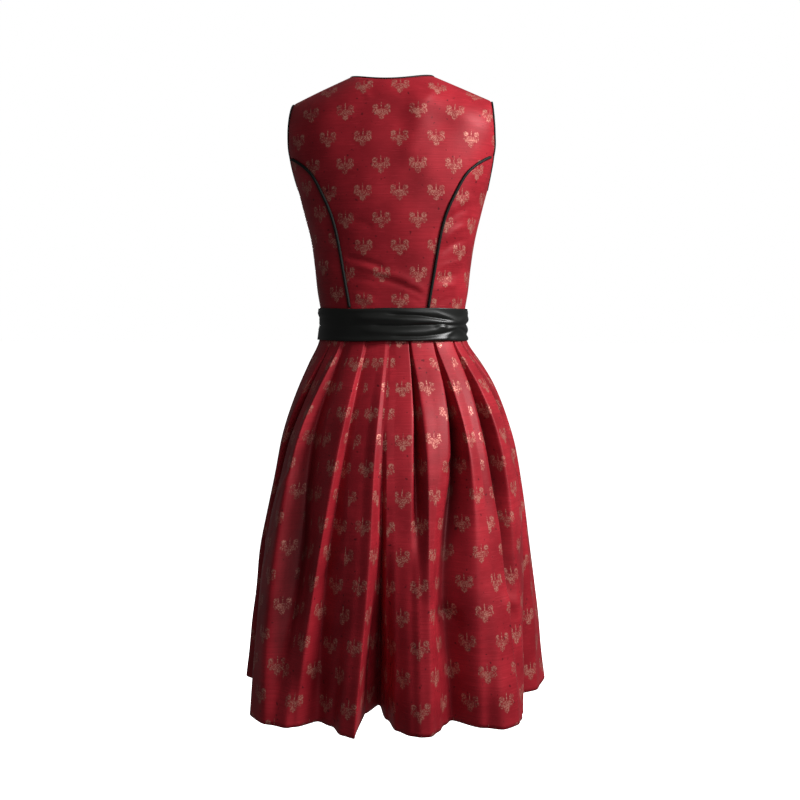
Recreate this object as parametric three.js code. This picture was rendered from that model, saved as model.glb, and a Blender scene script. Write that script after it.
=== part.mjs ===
// Sleeveless dirndl dress, worn and hollow. Millimetres, +Z up.
// Origin: midway between the shoulder seams, at the height of the neck points.
// The front faces -Y, the back +Y, the wearer's left is +X.
import * as THREE from 'three';
import { mergeVertices } from 'three/addons/utils/BufferGeometryUtils.js';

// ---- Driving dimensions ----
const clothThickness = 1.5;
const seamPull = 0.2; // each edge stands this far back from its seam line
const waistSeam = -417; // height of the seam between bodice and skirt
const waistGap = 0.4;
const hemHeight = -1010;

const neckHalfWidth = 73;
const shoulderHalfWidth = 167;
const shoulderDrop = 41; // from the neck point to the shoulder tip
const shoulderSeamY = 5;
const shoulderRound = 65; // height over which the shoulder rolls into the front and the back
const bodySquareness = 2.35; // exponent of the bodice's rounded sections
const crestHalfWidth = 190; // of the sections at shoulder height

const armholeBottom = -190;
const bust = { x: 84, z: -228, rise: 15, spreadX: 44, spreadZ: 50 };

const sashTop = -388;
const sashBottom = -446;
const sashThickness = 2.2;
const sashClearance = 0.9;
const sashColumns = 64;
const sashRows = 7;
const sashFolds = { relief: 1.3, count: 3, gatherAngle: 62, gatherSpread: 50, drawTogether: 0.9, edgeEase: 0.4 };

const seamPipingRadius = 1.9;
const edgePipingRadius = 1.4;
const seamPipingGap = 0.35;
const edgePipingGap = 0.65;
const seamPipingFoot = -386.5; // just above the sash
const seamPipingHead = -142; // just under the armhole's piping
const closingGap = 0.4; // between the ends of the neck piping, at the centre front
const pipingSteps = { neck: 46, armhole: 52, seam: 26 };
const pipingFaces = 6; // round each cord
const weldDistance = 1e-4;
const neckMiddle = new THREE.Vector3(0, 0, 60);
const armholeMiddle = new THREE.Vector3(-175, 0, -115); // of the wearer's right

// Bodice sections: half width at the side seam, depth of the back and of the front.
const bodySections = [
  { z: 40, halfWidth: crestHalfWidth, back: 86, front: 80 },
  { z: -55, halfWidth: crestHalfWidth, back: 98, front: 96 },
  { z: -128, halfWidth: 178, back: 108, front: 114 },
  { z: -190, halfWidth: 160, back: 109, front: 124 },
  { z: -230, halfWidth: 149.5, back: 106, front: 126 },
  { z: -272, halfWidth: 139, back: 101, front: 120 },
  { z: -320, halfWidth: 132, back: 95, front: 110 },
  { z: -360, halfWidth: 127.5, back: 91.5, front: 103 },
  { z: -390, halfWidth: 122.5, back: 89, front: 99 },
  { z: -417, halfWidth: 120, back: 88, front: 98 },
];

// Where the back's edge runs: down the armhole to the seam's head, then down the piped seam.
const backEdge = [
  { z: -41, x: 166 },
  { z: -70, x: 169 },
  { z: -100, x: 171 },
  { z: -135, x: 169.5 },
  { z: -145, x: 155 },
  { z: -156, x: 140 },
  { z: -172, x: 124.5 },
  { z: -204, x: 107 },
  { z: -233, x: 94 },
  { z: -264, x: 85 },
  { z: -301, x: 78 },
  { z: -332, x: 73 },
  { z: -361, x: 68 },
  { z: -386, x: 64 },
  { z: -417, x: 60 },
];

const frontEdge = [
  { z: -41, x: 166 },
  { z: -70, x: 160 },
  { z: -100, x: 155 },
  { z: -130, x: 151 },
  { z: -145, x: 134 },
  { z: -165, x: 116 },
  { z: -195, x: 98 },
  { z: -228, x: 89 },
  { z: -270, x: 81 },
  { z: -330, x: 70 },
  { z: -417, x: 57 },
];

// The neckline's powers make the front's a deep round scoop and the back's a shallow dip.
const cuts = {
  back: {
    edge: backEdge,
    seamHead: -135,
    centreTurn: 0,
    chestHeight: -125,
    neckDrop: 16,
    neckAcrossPower: 1,
    neckDownPower: 2,
  },
  front: {
    edge: frontEdge,
    seamHead: -130,
    centreTurn: Math.PI,
    chestHeight: -160,
    neckDrop: 125,
    neckAcrossPower: 1.05,
    neckDownPower: 1.05,
  },
};

// Skirt sections: the outline round the tops of the pleats, squarer towards the hem.
const skirtSections = [
  { z: -417, halfWidth: 120.5, back: 88.5, front: 98.5, squareness: 2.3 },
  { z: -446, halfWidth: 126, back: 94, front: 104, squareness: 2.2 },
  { z: -480, halfWidth: 145, back: 113, front: 120, squareness: 2.1 },
  { z: -517, halfWidth: 163, back: 135, front: 138, squareness: 2.1 },
  { z: -571, halfWidth: 184, back: 163, front: 160, squareness: 2.15 },
  { z: -625, halfWidth: 199, back: 184, front: 179, squareness: 2.2 },
  { z: -734, halfWidth: 220, back: 213, front: 205, squareness: 2.3 },
  { z: -843, halfWidth: 236, back: 236, front: 224, squareness: 2.4 },
  { z: -952, halfWidth: 250, back: 255, front: 239, squareness: 2.45 },
  { z: -1010, halfWidth: 257, back: 262, front: 245, squareness: 2.45 },
];

// Fold lines of the skirt, round from the centre front by the wearer's left, over the back and
// home by the right. Angles in degrees from the centre back at waist, middle and hem, and how
// far the line lies inside the outline there.
const foldLevels = { waist: -446, middle: -590, hem: -1010 };
const foldLines = [
  { waist: -180, middle: -180, hem: -180, waistIn: 4, middleIn: 38, hemIn: 88 }, // front hollow
  { waist: -178.6, middle: -177, hem: -173.5, waistIn: 0, middleIn: 3, hemIn: 20 },
  { waist: -165.5, middle: -168, hem: -168, waistIn: 0, middleIn: 0, hemIn: 0 },
  { waist: -164.7, middle: -165.5, hem: -163, waistIn: 4, middleIn: 22, hemIn: 22 },
  { waist: -164, middle: -162, hem: -158, waistIn: 0, middleIn: 3, hemIn: 30 },
  { waist: -149, middle: -155, hem: -153, waistIn: 0, middleIn: 1, hemIn: 44 },
  { waist: -148.2, middle: -151.5, hem: -149, waistIn: 4, middleIn: 30, hemIn: 56 },
  { waist: -147.5, middle: -146, hem: -143, waistIn: 0, middleIn: 3, hemIn: 12 },
  { waist: -131, middle: -139, hem: -138, waistIn: 0, middleIn: 0, hemIn: 0 },
  { waist: -130.2, middle: -136, hem: -134, waistIn: 4, middleIn: 24, hemIn: 12 },
  { waist: -129.5, middle: -132, hem: -130, waistIn: 0, middleIn: 3, hemIn: 2 },
  { waist: -113, middle: -123, hem: -125, waistIn: 0, middleIn: 0, hemIn: 18 },
  { waist: -112.2, middle: -119, hem: -119, waistIn: 4, middleIn: 30, hemIn: 50 },
  { waist: -111.5, middle: -113, hem: -113, waistIn: 0, middleIn: 3, hemIn: 14 },
  { waist: -94.4, middle: -103, hem: -107, waistIn: 0, middleIn: 0, hemIn: -8 },
  { waist: -93.6, middle: -98.5, hem: -101, waistIn: 4, middleIn: 22, hemIn: 6 },
  { waist: -93, middle: -94.5, hem: -95, waistIn: 0, middleIn: 2, hemIn: 0 },
  { waist: -76.4, middle: -86, hem: -84, waistIn: 0, middleIn: 0, hemIn: 6 },
  { waist: -75.6, middle: -82, hem: -79, waistIn: 4, middleIn: 24, hemIn: 24 },
  { waist: -75, middle: -77, hem: -74, waistIn: 0, middleIn: 2, hemIn: 40 },
  { waist: -58.4, middle: -70, hem: -68, waistIn: 0, middleIn: 1, hemIn: 52 },
  { waist: -57.5, middle: -65, hem: -61, waistIn: 4, middleIn: 30, hemIn: 50 },
  { waist: -56.8, middle: -58, hem: -52, waistIn: 0, middleIn: 3, hemIn: 8 },
  { waist: -48, middle: -51, hem: -46, waistIn: 0, middleIn: 2, hemIn: -9 },
  { waist: -39.8, middle: -44, hem: -39, waistIn: 0, middleIn: 0, hemIn: -11 },
  { waist: -38.8, middle: -36.5, hem: -35, waistIn: 4, middleIn: 26, hemIn: -6 },
  { waist: -30, middle: -29, hem: -32, waistIn: 0, middleIn: 12, hemIn: -5 },
  { waist: -20.6, middle: -21.2, hem: -29, waistIn: 0, middleIn: 0, hemIn: 6 },
  { waist: -19.6, middle: -18, hem: -25, waistIn: 4, middleIn: 28, hemIn: 40 },
  { waist: -13, middle: -12, hem: -18, waistIn: 0, middleIn: 14, hemIn: 29 },
  { waist: -7, middle: -6, hem: -11.5, waistIn: 0, middleIn: 5, hemIn: 0 },
  { waist: -3, middle: -2.3, hem: -7, waistIn: 0, middleIn: 0, hemIn: -9 },
  { waist: -1.1, middle: -0.9, hem: -9.5, waistIn: 1.2, middleIn: 18, hemIn: 86 },
  { waist: 0.2, middle: 0.5, hem: -4.5, waistIn: 2.6, middleIn: 36, hemIn: 122 }, // back hollow
  { waist: 1.8, middle: 2.6, hem: 2, waistIn: 1.4, middleIn: 16, hemIn: 64 },
  { waist: 7, middle: 7, hem: 5.5, waistIn: 0, middleIn: 4, hemIn: 27 },
  { waist: 18, middle: 15.3, hem: 10.5, waistIn: 0, middleIn: 3, hemIn: 9 },
  { waist: 18.7, middle: 17.3, hem: 13.5, waistIn: 4, middleIn: 22, hemIn: 4 },
  { waist: 19.6, middle: 19.4, hem: 16.5, waistIn: 0, middleIn: 0, hemIn: 2 },
  { waist: 30, middle: 25.5, hem: 20, waistIn: 0, middleIn: 0, hemIn: 12 },
  { waist: 40.4, middle: 31.2, hem: 24, waistIn: 0, middleIn: 3, hemIn: 40 },
  { waist: 41.2, middle: 36.4, hem: 30, waistIn: 4, middleIn: 38, hemIn: 56 },
  { waist: 42, middle: 41.5, hem: 35, waistIn: 0, middleIn: 3, hemIn: 12 },
  { waist: 49, middle: 45.5, hem: 40, waistIn: 0, middleIn: 0, hemIn: -9 },
  { waist: 56.2, middle: 50, hem: 45.5, waistIn: 0, middleIn: 3, hemIn: -9 },
  { waist: 57, middle: 57, hem: 49.5, waistIn: 4, middleIn: 28, hemIn: -1 },
  { waist: 57.8, middle: 65, hem: 54, waistIn: 0, middleIn: 0, hemIn: 10 },
  { waist: 75, middle: 74, hem: 62, waistIn: 0, middleIn: 3, hemIn: 38 },
  { waist: 75.7, middle: 79, hem: 69, waistIn: 4, middleIn: 24, hemIn: 42 },
  { waist: 76.5, middle: 84, hem: 79, waistIn: 0, middleIn: 0, hemIn: 12 },
  { waist: 93, middle: 95, hem: 93, waistIn: 0, middleIn: 1, hemIn: 0 },
  { waist: 93.8, middle: 100, hem: 101, waistIn: 4, middleIn: 22, hemIn: 14 },
  { waist: 94.6, middle: 104, hem: 108, waistIn: 0, middleIn: 0, hemIn: 44 },
  { waist: 111.5, middle: 113.5, hem: 114, waistIn: 0, middleIn: 3, hemIn: 50 },
  { waist: 112.2, middle: 118.5, hem: 120, waistIn: 4, middleIn: 28, hemIn: 30 },
  { waist: 113, middle: 123, hem: 126, waistIn: 0, middleIn: 0, hemIn: 2 },
  { waist: 129.5, middle: 132, hem: 133, waistIn: 0, middleIn: 3, hemIn: 0 },
  { waist: 130.2, middle: 136, hem: 138, waistIn: 4, middleIn: 24, hemIn: 14 },
  { waist: 131, middle: 140, hem: 143, waistIn: 0, middleIn: 0, hemIn: 46 },
  { waist: 147.5, middle: 147, hem: 148, waistIn: 0, middleIn: 3, hemIn: 56 },
  { waist: 148.2, middle: 152, hem: 154, waistIn: 4, middleIn: 30, hemIn: 22 },
  { waist: 149, middle: 156, hem: 159, waistIn: 0, middleIn: 0, hemIn: 0 },
  { waist: 164, middle: 163, hem: 165, waistIn: 0, middleIn: 3, hemIn: 4 },
  { waist: 164.8, middle: 166, hem: 168.5, waistIn: 4, middleIn: 22, hemIn: 12 },
  { waist: 165.6, middle: 169, hem: 171, waistIn: 0, middleIn: 0, hemIn: 8 },
  { waist: 178.6, middle: 177, hem: 174.5, waistIn: 0, middleIn: 3, hemIn: 30 },
];
const sideSeamLines = { left: -93, right: 93 }; // the fold lines that carry the side seams

// Heights of the skirt's rows, closer together under the sash where the pleats spring.
const skirtRows = [0, -15, -30, -46, -68, -100, -142, -190, -250, -315, -385, -455, -525];
const skirtColumnWidth = 26; // widest strip of the hem between two columns
const mitreLimit = 1.8; // of the wall's thickness, inside a sharp fold

const pleatSoftness = { waist: 0.15, hem: 1, growth: 0.6 }; // 0 folds sharply, 1 rounds off

const normalStep = 0.004; // of turn and fall, either side of the point whose normal is measured
const crestTilt = 0.6; // how far up a normal looks on the shoulder's crest
const fallRounds = 12; // that settle a row of an edge at its fall
const seamRows = 12; // rows of a side panel, shared by the panel it joins
const backRiseRows = 7; // of the back, from the head of the seam to the shoulder
const centreRiseRows = 1; // of the front, up the centre to the neckline
const neckRows = 7; // of the front, along the neckline
const centreColumns = 12;
const neckColumns = 7; // of the back's centre columns, those that end at the neckline
const sideColumns = 8;

const brocade = { color: 0x8e1b2c, roughness: 0.5 };
const sideBrocade = { color: 0x7a1826, roughness: 0.5 };
const pipingSatin = { color: 0x0d0d0d, roughness: 0.4 };
const sashSatin = { color: 0x0d0d0d, roughness: 0.35 };

// ---- Helpers ----
const degree = Math.PI / 180;
const signedPower = (value, power) => Math.sign(value) * Math.abs(value) ** power;
const lerp = (from, to, share) => from + (to - from) * share;

// Smooth curve through one column of a table, read at a height z.
function follow(rows, column, z) {
  const falling = rows[0].z > rows[1].z ? 1 : -1;
  let index = rows.findIndex((row) => (row.z - z) * falling < 0) - 1;
  if (index === -2) index = rows.length - 2;
  index = Math.min(Math.max(index, 0), rows.length - 2);
  const slope = (at) => {
    const before = rows[Math.max(at - 1, 0)];
    const after = rows[Math.min(at + 1, rows.length - 1)];
    return (after[column] - before[column]) / (after.z - before.z);
  };
  const from = rows[index];
  const to = rows[index + 1];
  const span = to.z - from.z;
  const share = Math.min(Math.max((z - from.z) / span, 0), 1);
  const share2 = share * share;
  const share3 = share2 * share;
  return (2 * share3 - 3 * share2 + 1) * from[column]
    + (share3 - 2 * share2 + share) * span * slope(index)
    + (-2 * share3 + 3 * share2) * to[column]
    + (share3 - share2) * span * slope(index + 1);
}

// ---- Bodice surface ----
// A point is given by a turn (0 at the centre back, 90 degrees at the side seam, 180 at the
// centre front) and a fall from the shoulder's crest, in units of the shoulder's roll.
function crestHeight(turn) {
  const across = crestHalfWidth * Math.abs(Math.sin(turn)) ** (2 / bodySquareness);
  const slope = shoulderDrop / (shoulderHalfWidth - neckHalfWidth);
  const share = across / neckHalfWidth;
  return share > 1 ? -slope * (across - neckHalfWidth) : slope * neckHalfWidth * (1 - share * share) / 2;
}

function fallOf(turn, z) {
  const share = (crestHeight(turn) - z) / shoulderRound;
  return share < 1 ? Math.acos(Math.min(1 - share, 1)) : Math.PI / 2 + share - 1;
}

function heightOf(turn, fall) {
  const quarter = Math.PI / 2;
  const drop = fall < quarter ? 1 - Math.cos(fall) : 1 + fall - quarter;
  return crestHeight(turn) - shoulderRound * drop;
}

function turnAt(x, z) {
  const share = Math.min(x / follow(bodySections, 'halfWidth', z), 1);
  return Math.asin(share ** (bodySquareness / 2));
}

function bodyPoint(turn, fall) {
  const z = heightOf(turn, fall);
  const across = follow(bodySections, 'halfWidth', z) * signedPower(Math.sin(turn), 2 / bodySquareness);
  const towards = Math.cos(turn);
  const depth = follow(bodySections, towards > 0 ? 'back' : 'front', z);
  let y = depth * signedPower(towards, 2 / bodySquareness);
  if (towards < 0) {
    const offX = (Math.abs(across) - bust.x) / bust.spreadX;
    const offZ = (z - bust.z) / bust.spreadZ;
    y -= bust.rise * Math.exp(-offX * offX - offZ * offZ);
  }
  const roll = Math.sin(Math.min(fall, Math.PI / 2));
  return new THREE.Vector3(-across, shoulderSeamY + (y - shoulderSeamY) * roll, z);
}

function bodyNormal(turn, fall) {
  const low = Math.max(fall - normalStep, 0);
  const middle = Math.max(fall, normalStep);
  const alongTurn = bodyPoint(turn + normalStep, middle).sub(bodyPoint(turn - normalStep, middle));
  const alongFall = bodyPoint(turn, fall + normalStep).sub(bodyPoint(turn, low));
  const normal = alongFall.cross(alongTurn).normalize();
  const outwards = new THREE.Vector3(-Math.sin(turn), Math.cos(turn), crestTilt * Math.max(1 - fall, 0));
  return normal.dot(outwards) < 0 ? normal.negate() : normal;
}

// ---- Closed walls from a grid of outer points and their normals ----
function wallGeometry(columns, thickness, ringClosed = false) {
  const columnCount = columns.length;
  const rowCount = columns[0].length;
  const positions = [];
  for (const layer of [0, 1]) {
    for (const column of columns) {
      for (const { point, normal } of column) {
        const place = point.clone().addScaledVector(normal, -thickness * layer);
        positions.push(place.x, place.y, place.z);
      }
    }
  }
  const vertex = (layer, column, row) => (layer * columnCount + (column % columnCount)) * rowCount + row;
  const faces = [];
  const quad = (a, b, c, d) => faces.push(a, b, c, a, c, d);
  const strips = ringClosed ? columnCount : columnCount - 1;
  for (let column = 0; column < strips; column += 1) {
    for (let row = 0; row < rowCount - 1; row += 1) {
      quad(vertex(0, column, row), vertex(0, column + 1, row),
        vertex(0, column + 1, row + 1), vertex(0, column, row + 1));
      quad(vertex(1, column, row), vertex(1, column, row + 1),
        vertex(1, column + 1, row + 1), vertex(1, column + 1, row));
    }
    quad(vertex(1, column, 0), vertex(1, column + 1, 0), vertex(0, column + 1, 0), vertex(0, column, 0));
    const top = rowCount - 1;
    quad(vertex(0, column, top), vertex(0, column + 1, top), vertex(1, column + 1, top), vertex(1, column, top));
  }
  if (!ringClosed) {
    const last = columnCount - 1;
    for (let row = 0; row < rowCount - 1; row += 1) {
      quad(vertex(0, 0, row), vertex(0, 0, row + 1), vertex(1, 0, row + 1), vertex(1, 0, row));
      quad(vertex(0, last, row + 1), vertex(0, last, row), vertex(1, last, row), vertex(1, last, row + 1));
    }
  }
  return outwardGeometry(positions, faces);
}

// Turns every face round when the body comes out inside out.
function outwardGeometry(positions, faces) {
  const corner = (index) => new THREE.Vector3().fromArray(positions, 3 * faces[index]);
  let volume = 0;
  for (let index = 0; index < faces.length; index += 3) {
    volume += corner(index).dot(corner(index + 1).cross(corner(index + 2)));
  }
  const ordered = volume > 0 ? faces : faces.slice().reverse();
  const geometry = new THREE.BufferGeometry();
  geometry.setAttribute('position', new THREE.Float32BufferAttribute(positions, 3));
  geometry.setIndex(ordered);
  geometry.computeVertexNormals();
  return geometry;
}

function addPiece(group, name, geometry, finish) {
  const material = new THREE.MeshStandardMaterial({ ...finish, metalness: 0 });
  const mesh = new THREE.Mesh(geometry, material);
  mesh.name = name;
  group.add(mesh);
}

// ---- Bodice panels ----
// An edge runs up from the waist; its rows come out even along the fall.
function edgeRows(edge, facing, fromZ, toZ, rows) {
  const places = [];
  const place = (z) => {
    const turn = turnAt(follow(edge, 'x', z), z);
    return { turn: facing === 'back' ? turn : Math.PI - turn, z };
  };
  const lowFall = fallOf(place(fromZ).turn, fromZ);
  const highFall = fallOf(place(toZ).turn, toZ);
  for (let row = 0; row <= rows; row += 1) {
    const wanted = lerp(lowFall, highFall, row / rows);
    let z = lerp(fromZ, toZ, row / rows);
    for (let round = 0; round < fallRounds; round += 1) {
      z = Math.min(Math.max(heightOf(place(z).turn, wanted), fromZ), toZ);
    }
    places.push({ turn: place(z).turn, fall: wanted });
  }
  return places;
}

// Fills the patch between four edges given in turn and fall.
function patch(bottom, top, start, end) {
  const lastColumn = bottom.length - 1;
  const lastRow = start.length - 1;
  return bottom.map((unused, column) => start.map((unusedToo, row) => {
    const share = row / lastRow;
    const reach = column / lastColumn;
    const ruled = (at, key) => lerp(bottom[at][key], top[at][key], share);
    const blend = (key) => ruled(column, key)
      + (1 - reach) * (start[row][key] - ruled(0, key))
      + reach * (end[row][key] - ruled(lastColumn, key));
    return { turn: blend('turn'), fall: Math.max(blend('fall'), 0) };
  }));
}

const even = (count, make) => Array.from({ length: count + 1 }, (unused, index) => make(index / count));

// A line across half a centre panel, from the centre to its seam.
function acrossPlaces(facing, endTurn, heightAt) {
  return even(centreColumns, (share) => {
    const turn = lerp(cuts[facing].centreTurn, endTurn, share);
    return { turn, fall: fallOf(turn, heightAt(share)) };
  });
}

// Half of one panel's neckline, from the centre to the neck point.
function necklinePlaces(facing, count) {
  const { centreTurn, neckDrop, neckAcrossPower, neckDownPower } = cuts[facing];
  return even(count, (share) => {
    const angle = (1 - share) * Math.PI / 2;
    const x = neckHalfWidth * Math.cos(angle) ** neckAcrossPower;
    const z = -neckDrop * Math.sin(angle) ** neckDownPower;
    const turn = Math.abs(centreTurn - turnAt(x, z));
    return { turn, fall: share < 1 ? fallOf(turn, z) : 0 };
  });
}

// Half of a centre panel, from the centre line out: a lower patch up to the head of the side
// seam and an upper patch on to the shoulder. The back's shallow neckline ends the columns; the
// front's deep one ends the rows.
function centrePlaces(facing) {
  const isBack = facing === 'back';
  const { edge, seamHead, centreTurn, chestHeight } = cuts[facing];
  const riseRows = isBack ? backRiseRows : centreRiseRows + neckRows;
  const seam = edgeRows(edge, facing, waistSeam, seamHead, seamRows);
  const armhole = edgeRows(edge, facing, seamHead, -shoulderDrop, riseRows);
  const bottom = acrossPlaces(facing, seam[0].turn, () => waistSeam);
  const chest = acrossPlaces(facing, seam[seamRows].turn, (share) => lerp(chestHeight, seamHead, share * share));
  const tip = { turn: armhole[riseRows].turn, fall: 0 };
  armhole[riseRows] = tip;
  const neckline = necklinePlaces(facing, isBack ? neckColumns : neckRows);
  const neckPoint = neckline[neckline.length - 1];
  const shoulderTo = (count) => even(count, (share) => (
    { turn: lerp(neckPoint.turn, tip.turn, share), fall: 0 }));
  const centreLine = (from, to, rows) => even(rows, (share) => (
    { turn: centreTurn, fall: lerp(from.fall, to.fall, share) }));
  const top = isBack
    ? [...neckline, ...shoulderTo(centreColumns - neckColumns).slice(1)]
    : shoulderTo(centreColumns);
  const rise = isBack
    ? centreLine(chest[0], top[0], riseRows)
    : [...centreLine(chest[0], neckline[0], centreRiseRows), ...neckline.slice(1)];
  const lower = patch(bottom, chest, centreLine(bottom[0], chest[0], seamRows), seam);
  const upper = patch(chest, top, rise, armhole);
  return lower.map((line, column) => [...line, ...upper[column].slice(1)]);
}

// A side panel: from the seam out to the side seam, under the armhole.
function sidePlaces(facing) {
  const { edge, seamHead } = cuts[facing];
  const start = edgeRows(edge, facing, waistSeam, seamHead, seamRows);
  const sideTurn = Math.PI / 2;
  const lowFall = fallOf(sideTurn, waistSeam);
  const highFall = fallOf(sideTurn, armholeBottom);
  const end = even(seamRows, (share) => ({ turn: sideTurn, fall: lerp(lowFall, highFall, share) }));
  const bottom = even(sideColumns, (share) => {
    const turn = lerp(start[0].turn, sideTurn, share);
    return { turn, fall: fallOf(turn, waistSeam) };
  });
  const head = start[seamRows];
  const top = even(sideColumns, (share) => {
    const turn = lerp(head.turn, sideTurn, share);
    const z = lerp(seamHead, armholeBottom, Math.sin(share * Math.PI / 2));
    return { turn, fall: fallOf(turn, z) };
  });
  return patch(bottom, top, start, end);
}

// Lifts places on to the bodice and draws every edge back from its seam.
function liftPanel(places, side = 1) {
  const columns = places.map((line) => line.map(({ turn, fall }) => ({
    point: bodyPoint(turn, fall),
    normal: bodyNormal(turn, fall),
  })));
  const last = columns.length - 1;
  const top = columns[0].length - 1;
  const pulled = columns.map((line, column) => line.map(({ point, normal }, row) => {
    const moved = point.clone();
    const pull = (towards) => moved.addScaledVector(towards.clone().sub(point).normalize(), seamPull);
    if (column === 0) pull(columns[1][row].point);
    if (column === last) pull(columns[last - 1][row].point);
    if (row === top) pull(line[top - 1].point);
    return { point: moved, normal };
  }));
  return side === 1 ? pulled : mirrored(pulled);
}

function mirrored(columns) {
  const flip = (vector) => new THREE.Vector3(-vector.x, vector.y, vector.z);
  return columns.map((line) => line.map(({ point, normal }) => ({ point: flip(point), normal: flip(normal) })));
}

function addBodice(group) {
  const half = centrePlaces('back');
  const whole = [
    ...half.slice(1).reverse().map((line) => line.map(({ turn, fall }) => ({ turn: -turn, fall }))),
    ...half,
  ];
  addPiece(group, 'back_centre', wallGeometry(liftPanel(whole), clothThickness), brocade);
  for (const [side, name] of [[1, 'right'], [-1, 'left']]) {
    const backSide = liftPanel(sidePlaces('back'), side);
    const frontSide = liftPanel(sidePlaces('front'), side);
    const frontCentre = liftPanel(centrePlaces('front'), side);
    addPiece(group, `back_side_${name}`, wallGeometry(backSide, clothThickness), sideBrocade);
    addPiece(group, `front_side_${name}`, wallGeometry(frontSide, clothThickness), sideBrocade);
    addPiece(group, `front_centre_${name}`, wallGeometry(frontCentre, clothThickness), brocade);
  }
}

// ---- Piping ----
function cordGeometry(points, radius, stepCount) {
  const round = new THREE.Shape();
  round.absarc(0, 0, radius, 0, 2 * Math.PI, false);
  const raw = new THREE.ExtrudeGeometry(round, {
    steps: stepCount,
    curveSegments: pipingFaces / 2,
    bevelEnabled: false,
    extrudePath: new THREE.CatmullRomCurve3(points),
  });
  return mergedGeometry(raw);
}

function mergedGeometry(raw) {
  raw.deleteAttribute('normal');
  raw.deleteAttribute('uv');
  const geometry = mergeVertices(raw, weldDistance);
  geometry.computeVertexNormals();
  return geometry;
}

// Points beside an edge of the cloth, moved off it into the opening around a middle point.
function besideEdge(places, side, middle, closed) {
  const points = places.map(({ turn, fall }) => bodyPoint(turn, fall));
  return places.map(({ turn, fall }, index) => {
    const count = places.length;
    const before = points[closed ? (index + count - 1) % count : Math.max(index - 1, 0)];
    const after = points[closed ? (index + 1) % count : Math.min(index + 1, count - 1)];
    const normal = bodyNormal(turn, fall);
    const off = after.clone().sub(before).cross(normal).normalize();
    const point = points[index];
    if (off.dot(middle.clone().sub(point)) < 0) off.negate();
    const place = point.clone().addScaledVector(normal, -clothThickness / 2)
      .addScaledVector(off, edgePipingRadius + edgePipingGap);
    return new THREE.Vector3(place.x * side, place.y, place.z);
  });
}

function addPiping(group) {
  const backHalf = centrePlaces('back');
  const frontHalf = centrePlaces('front');
  const backUnder = sidePlaces('back').map((line) => line[seamRows]);
  const frontUnder = sidePlaces('front').map((line) => line[seamRows]);
  const backArm = backHalf[backHalf.length - 1].slice(seamRows);
  const frontArm = frontHalf[frontHalf.length - 1].slice(seamRows);
  const armhole = [
    ...backUnder.slice(1).reverse(),
    ...backArm,
    ...frontArm.slice(0, -1).reverse(),
    ...frontUnder.slice(1, -1),
  ];
  const necklineBack = backHalf.slice(0, neckColumns + 1).map((line) => line[line.length - 1]);
  const necklineFront = frontHalf[0].slice(seamRows + centreRiseRows);
  const neckRight = [...necklineFront, ...necklineBack.slice(0, -1).reverse()];
  const rightNeck = besideEdge(neckRight, 1, neckMiddle, false);
  const leftNeck = rightNeck.slice(0, -1).reverse().map((point) => new THREE.Vector3(-point.x, point.y, point.z));
  const neck = [...rightNeck, ...leftNeck];
  neck[0].x = -closingGap / 2;
  neck[neck.length - 1].x = closingGap / 2;
  addPiece(group, 'piping_neck', cordGeometry(neck, edgePipingRadius, pipingSteps.neck), pipingSatin);
  const seam = edgeRows(backEdge, 'back', seamPipingFoot, seamPipingHead, pipingSteps.seam);
  const seamPoints = seam.map(({ turn, fall }) => bodyPoint(turn, fall)
    .addScaledVector(bodyNormal(turn, fall), seamPipingRadius + seamPipingGap));
  for (const [side, name] of [[1, 'right'], [-1, 'left']]) {
    const around = new THREE.CatmullRomCurve3(besideEdge(armhole, side, armholeMiddle, true), true);
    const ring = new THREE.TubeGeometry(around, pipingSteps.armhole, edgePipingRadius, pipingFaces, true);
    addPiece(group, `piping_armhole_${name}`, mergedGeometry(ring), pipingSatin);
    const line = seamPoints.map((point) => new THREE.Vector3(point.x * side, point.y, point.z));
    addPiece(group, `piping_back_${name}`, cordGeometry(line, seamPipingRadius, pipingSteps.seam), pipingSatin);
  }
}

// ---- Sash ----
function outlineRadius(angle, halfWidth, depth, squareness) {
  const sideways = Math.abs(Math.sin(angle)) / halfWidth;
  const along = Math.abs(Math.cos(angle)) / depth;
  return (sideways ** squareness + along ** squareness) ** (-1 / squareness);
}

function sashRadius(angle, z) {
  const facing = Math.cos(angle) > 0 ? 'back' : 'front';
  const sections = z > waistSeam ? bodySections : skirtSections;
  const squareness = z > waistSeam ? bodySquareness : follow(skirtSections, 'squareness', z);
  return outlineRadius(angle, follow(sections, 'halfWidth', z), follow(sections, facing, z), squareness);
}

// Soft folds run round the band and draw together at the wearer's right side.
function sashFold(angle, z) {
  const { relief, count, gatherAngle, gatherSpread, drawTogether, edgeEase } = sashFolds;
  const gather = Math.exp(-(((angle / degree - gatherAngle) / gatherSpread) ** 2));
  const height = (z - sashBottom) / (sashTop - sashBottom);
  const drawn = 0.5 + (height - 0.5) * (1 + drawTogether * gather);
  const ridge = 0.5 + 0.5 * Math.cos(2 * Math.PI * count * drawn);
  return relief * ridge * Math.sin(Math.PI * height) ** edgeEase;
}

function addSash(group) {
  const columns = [];
  for (let column = 0; column < sashColumns; column += 1) {
    const angle = (column / sashColumns) * 2 * Math.PI;
    const line = [];
    for (let row = 0; row < sashRows; row += 1) {
      const z = lerp(sashBottom, sashTop, row / (sashRows - 1));
      const inner = sashRadius(angle, z) + sashClearance;
      const direction = new THREE.Vector3(-Math.sin(angle), Math.cos(angle), 0);
      const relief = sashFold(angle > Math.PI ? angle - 2 * Math.PI : angle, z);
      const point = direction.clone().multiplyScalar(inner + sashThickness + relief).setZ(z);
      line.push({ point, normal: direction.multiplyScalar((sashThickness + relief) / sashThickness) });
    }
    columns.push(line);
  }
  addPiece(group, 'sash', wallGeometry(columns, sashThickness, true), sashSatin);
}

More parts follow.
